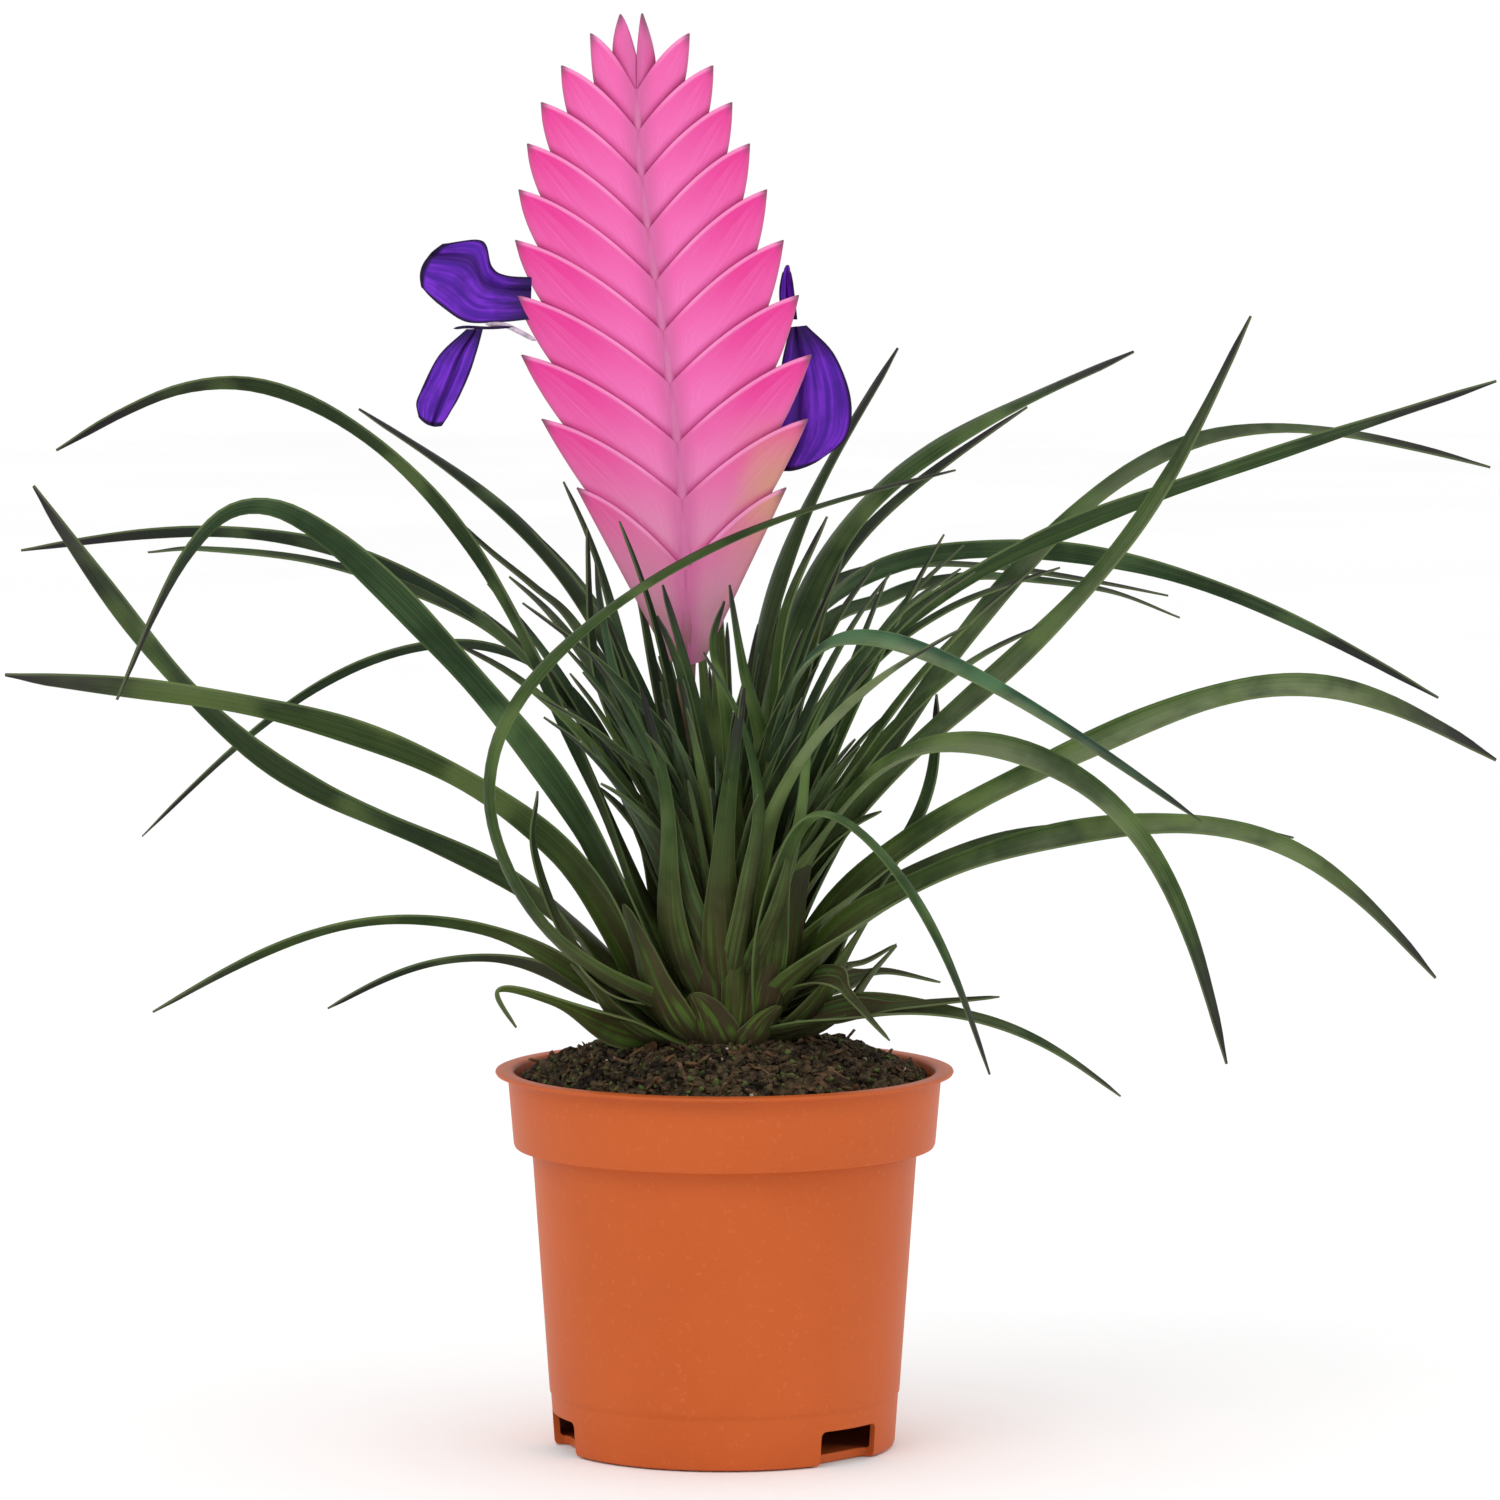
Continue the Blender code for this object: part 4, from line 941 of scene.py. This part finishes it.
# the two edges of each petal, from its throat to its end, in mm (x, height over the soil line);
# the depth of its throat and end, the end's bulge, the ruffle, all in mm, and where its crease lies across it
petalEdges = {
    "left_upper": (
        ((-37.5, 149.4), (-42.4, 149.8), (-45.2, 151.6), (-47.0, 156.6), (-54.6, 156.0)),
        ((-37.8, 141.2), (-44.2, 140.7), (-50.2, 140.9), (-55.6, 144.4), (-58.8, 147.6)),
        0.0, -5.0, 1.8, 0.6, 0.3),
    "left_lower": (
        ((-50.1, 139.4), (-55.4, 134.4), (-58.3, 128.8), (-59.8, 125.2), (-59.2, 122.6)),
        ((-47.0, 139.4), (-48.0, 135.6), (-49.5, 131.0), (-51.8, 125.8), (-54.8, 120.8)),
        -2.5, -8.0, 0.8, 0.4, 0.6),
    "left_rear": (
        ((-38.5, 147.5), (-43.0, 148.4), (-47.0, 150.6), (-50.0, 151.8)),
        ((-38.5, 142.5), (-43.0, 142.6), (-48.0, 142.8), (-52.0, 145.4)),
        2.0, 12.0, 1.2, 0.6, 0.5),
    "right_front": (
        ((12.9, 139.6), (11.4, 133.5), (10.2, 125.7), (9.6, 117.8), (9.8, 111.8)),
        ((16.0, 139.9), (21.4, 134.3), (24.6, 125.9), (24.0, 118.2), (18.4, 113.3)),
        2.4, 6.4, 1.4, 0.5, 0.3),
    "right_lower": (
        ((12.5, 138.0), (12.0, 132.0), (11.5, 126.0), (12.0, 121.0)),
        ((15.5, 138.0), (19.0, 133.0), (21.0, 126.0), (19.0, 120.0)),
        5.5, 13.0, 1.0, 0.5, 0.5),
    "right_rear": (
        ((11.2, 141.0), (10.8, 146.0), (11.3, 149.6), (12.0, 151.2)),
        ((14.2, 141.0), (13.6, 146.0), (13.1, 149.4), (12.6, 151.2)),
        5.5, 9.0, 0.3, 0.2, 0.5),
}
# the pale claw and the dark thread between the two left petals: line in mm, radius in mm, and colour
flowerThreads = {
    "claw": (((-36.6, -3.8, 137.2), (-39.6, -3.4, 138.8), (-42.8, -3.2, 140.2), (-46.5, -3.0, 140.4)),
        0.5, (0.62, 0.5, 0.62)),
    "thread": (((-41.0, -3.6, 139.9), (-46.0, -4.2, 139.7), (-50.0, -4.6, 139.9), (-52.6, -4.8, 139.6)),
        0.3, (0.02, 0.008, 0.05)),
}


def petalFinish():
    finish = Finish("petalSkin", roughness=0.55, Specular_IOR_Level=0.15)
    edge, along, crease = finish.marks()[:3]
    streaks = finish.sheet.stretched((11.0, 1.5, 1.0)).noise(1.0, 3.0, 0.6)
    cloud = finish.place.noise(240.0, 2.0)
    violet = layered(
        streaks.between(0.38, 0.68).mixed((0.072, 0.01, 0.32), (0.19, 0.028, 0.58)),
        ((crease + streaks * 0.2).between(0.26, 0.1) * 0.8, (0.024, 0.005, 0.09)),
        (cloud.between(0.45, 0.75) * 0.55, (0.05, 0.008, 0.2)),
        ((along + streaks * 0.25).between(0.48, 0.14) * 0.9, (0.018, 0.005, 0.06)),
        ((edge + streaks * 0.1).between(0.93, 1.03), (0.012, 0.003, 0.035)))
    finish.feed("Base Color", violet)
    finish.feed("Roughness", streaks * 0.2 + 0.45)
    finish.bump(streaks + cloud * 0.4, 0.4, 0.0004)
    return finish


def buildPetals():
    sizes = petalSizes
    finish = petalFinish()
    rows = sizes["rows"]
    for name, (edges, others, near, far, bulge, ruffle, crease) in petalEdges.items():
        first, second = (smoothed(line, rows + 1) * mm for line in (edges, others))
        depth = np.linspace(near, far, rows + 1) * mm
        ending = unit(first[-1] + second[-1] - first[-4] - second[-4])

        def shape(u, v):
            row = np.rint(v * rows).astype(int)
            t = 2 * u - 1
            flat = first[row] * (1 - u)[:, None] + second[row] * u[:, None]
            end = bulge * mm * smoothStep(v, sizes["endFrom"], 1.0) * (1 - t * t)
            flat = flat + ending * end[:, None]
            wave = ruffle * (np.sin(v * 9 + t * 2.2) * t * t + 0.5 * np.sin(v * 23 + 2 * t) * np.abs(t) ** 3)
            cup = sizes["cup"] * (t * t - 0.5) * np.sin(np.pi * np.clip(v, 0.05, 1) ** 0.7)
            cup -= sizes["creaseDepth"] * np.exp(-((u - crease) / sizes["creaseWidth"]) ** 2)
            return np.stack((flat[:, 0], depth[row] - (cup + wave * smoothStep(v, 0.1, 0.5)) * mm,
                             flat[:, 1] + soilLine), axis=1)

        def marks(u, v):
            rim = np.maximum(np.abs(2 * u - 1), smoothStep(v, sizes["rimFrom"], 1.0))
            return rim, v, np.abs(u - crease), np.ones(len(u))

        petal = addSheet("petal." + name, sizes["columns"], rows, shape, marks, sizes["thickness"])
        finishPiece(petal, finish, "petal", "petal_" + name)
    print("petals", len(petalEdges))


def buildThreads():
    rows = petalSizes["threadRows"]
    for name, (points, radius, colour) in flowerThreads.items():
        line = smoothed(np.array(points, float) * mm + (0, 0, soilLine), rows + 1)
        along = unit(np.gradient(line, axis=0))
        first = unit(np.cross(along, (0.0, 1.0, 0.0)))
        second = np.cross(along, first)

        def shape(u, v):
            row = np.rint(v * rows).astype(int)
            size = radius * mm * np.sqrt(np.clip(1 - (2 * v - 1) ** 6, 0.02, 1))[:, None]
            angle = math.tau * u[:, None]
            return line[row] + (first[row] * np.cos(angle) + second[row] * np.sin(angle)) * size

        tube = addSheet("flower." + name, petalSizes["threadSides"], rows, shape, lambda u, v: (u, v, u, v))
        skin = Finish(name + "Skin", roughness=0.6, Specular_IOR_Level=0.15)
        skin.feed("Base Color", skin.place.noise(700.0).between(0.3, 0.7).mixed(
            colour, tuple(value * 0.6 for value in colour)))
        finishPiece(tube, skin, "petal")
    print("threads", len(flowerThreads))


buildStudio()
buildPot()
buildSoil()
leafSkin = leafFinish()
buildLeaves(leafSkin)
buildInnerLeaves(leafSkin)
buildFootSheaths(leafSkin)
buildSpike()
buildStalk()
buildPetals()
buildThreads()
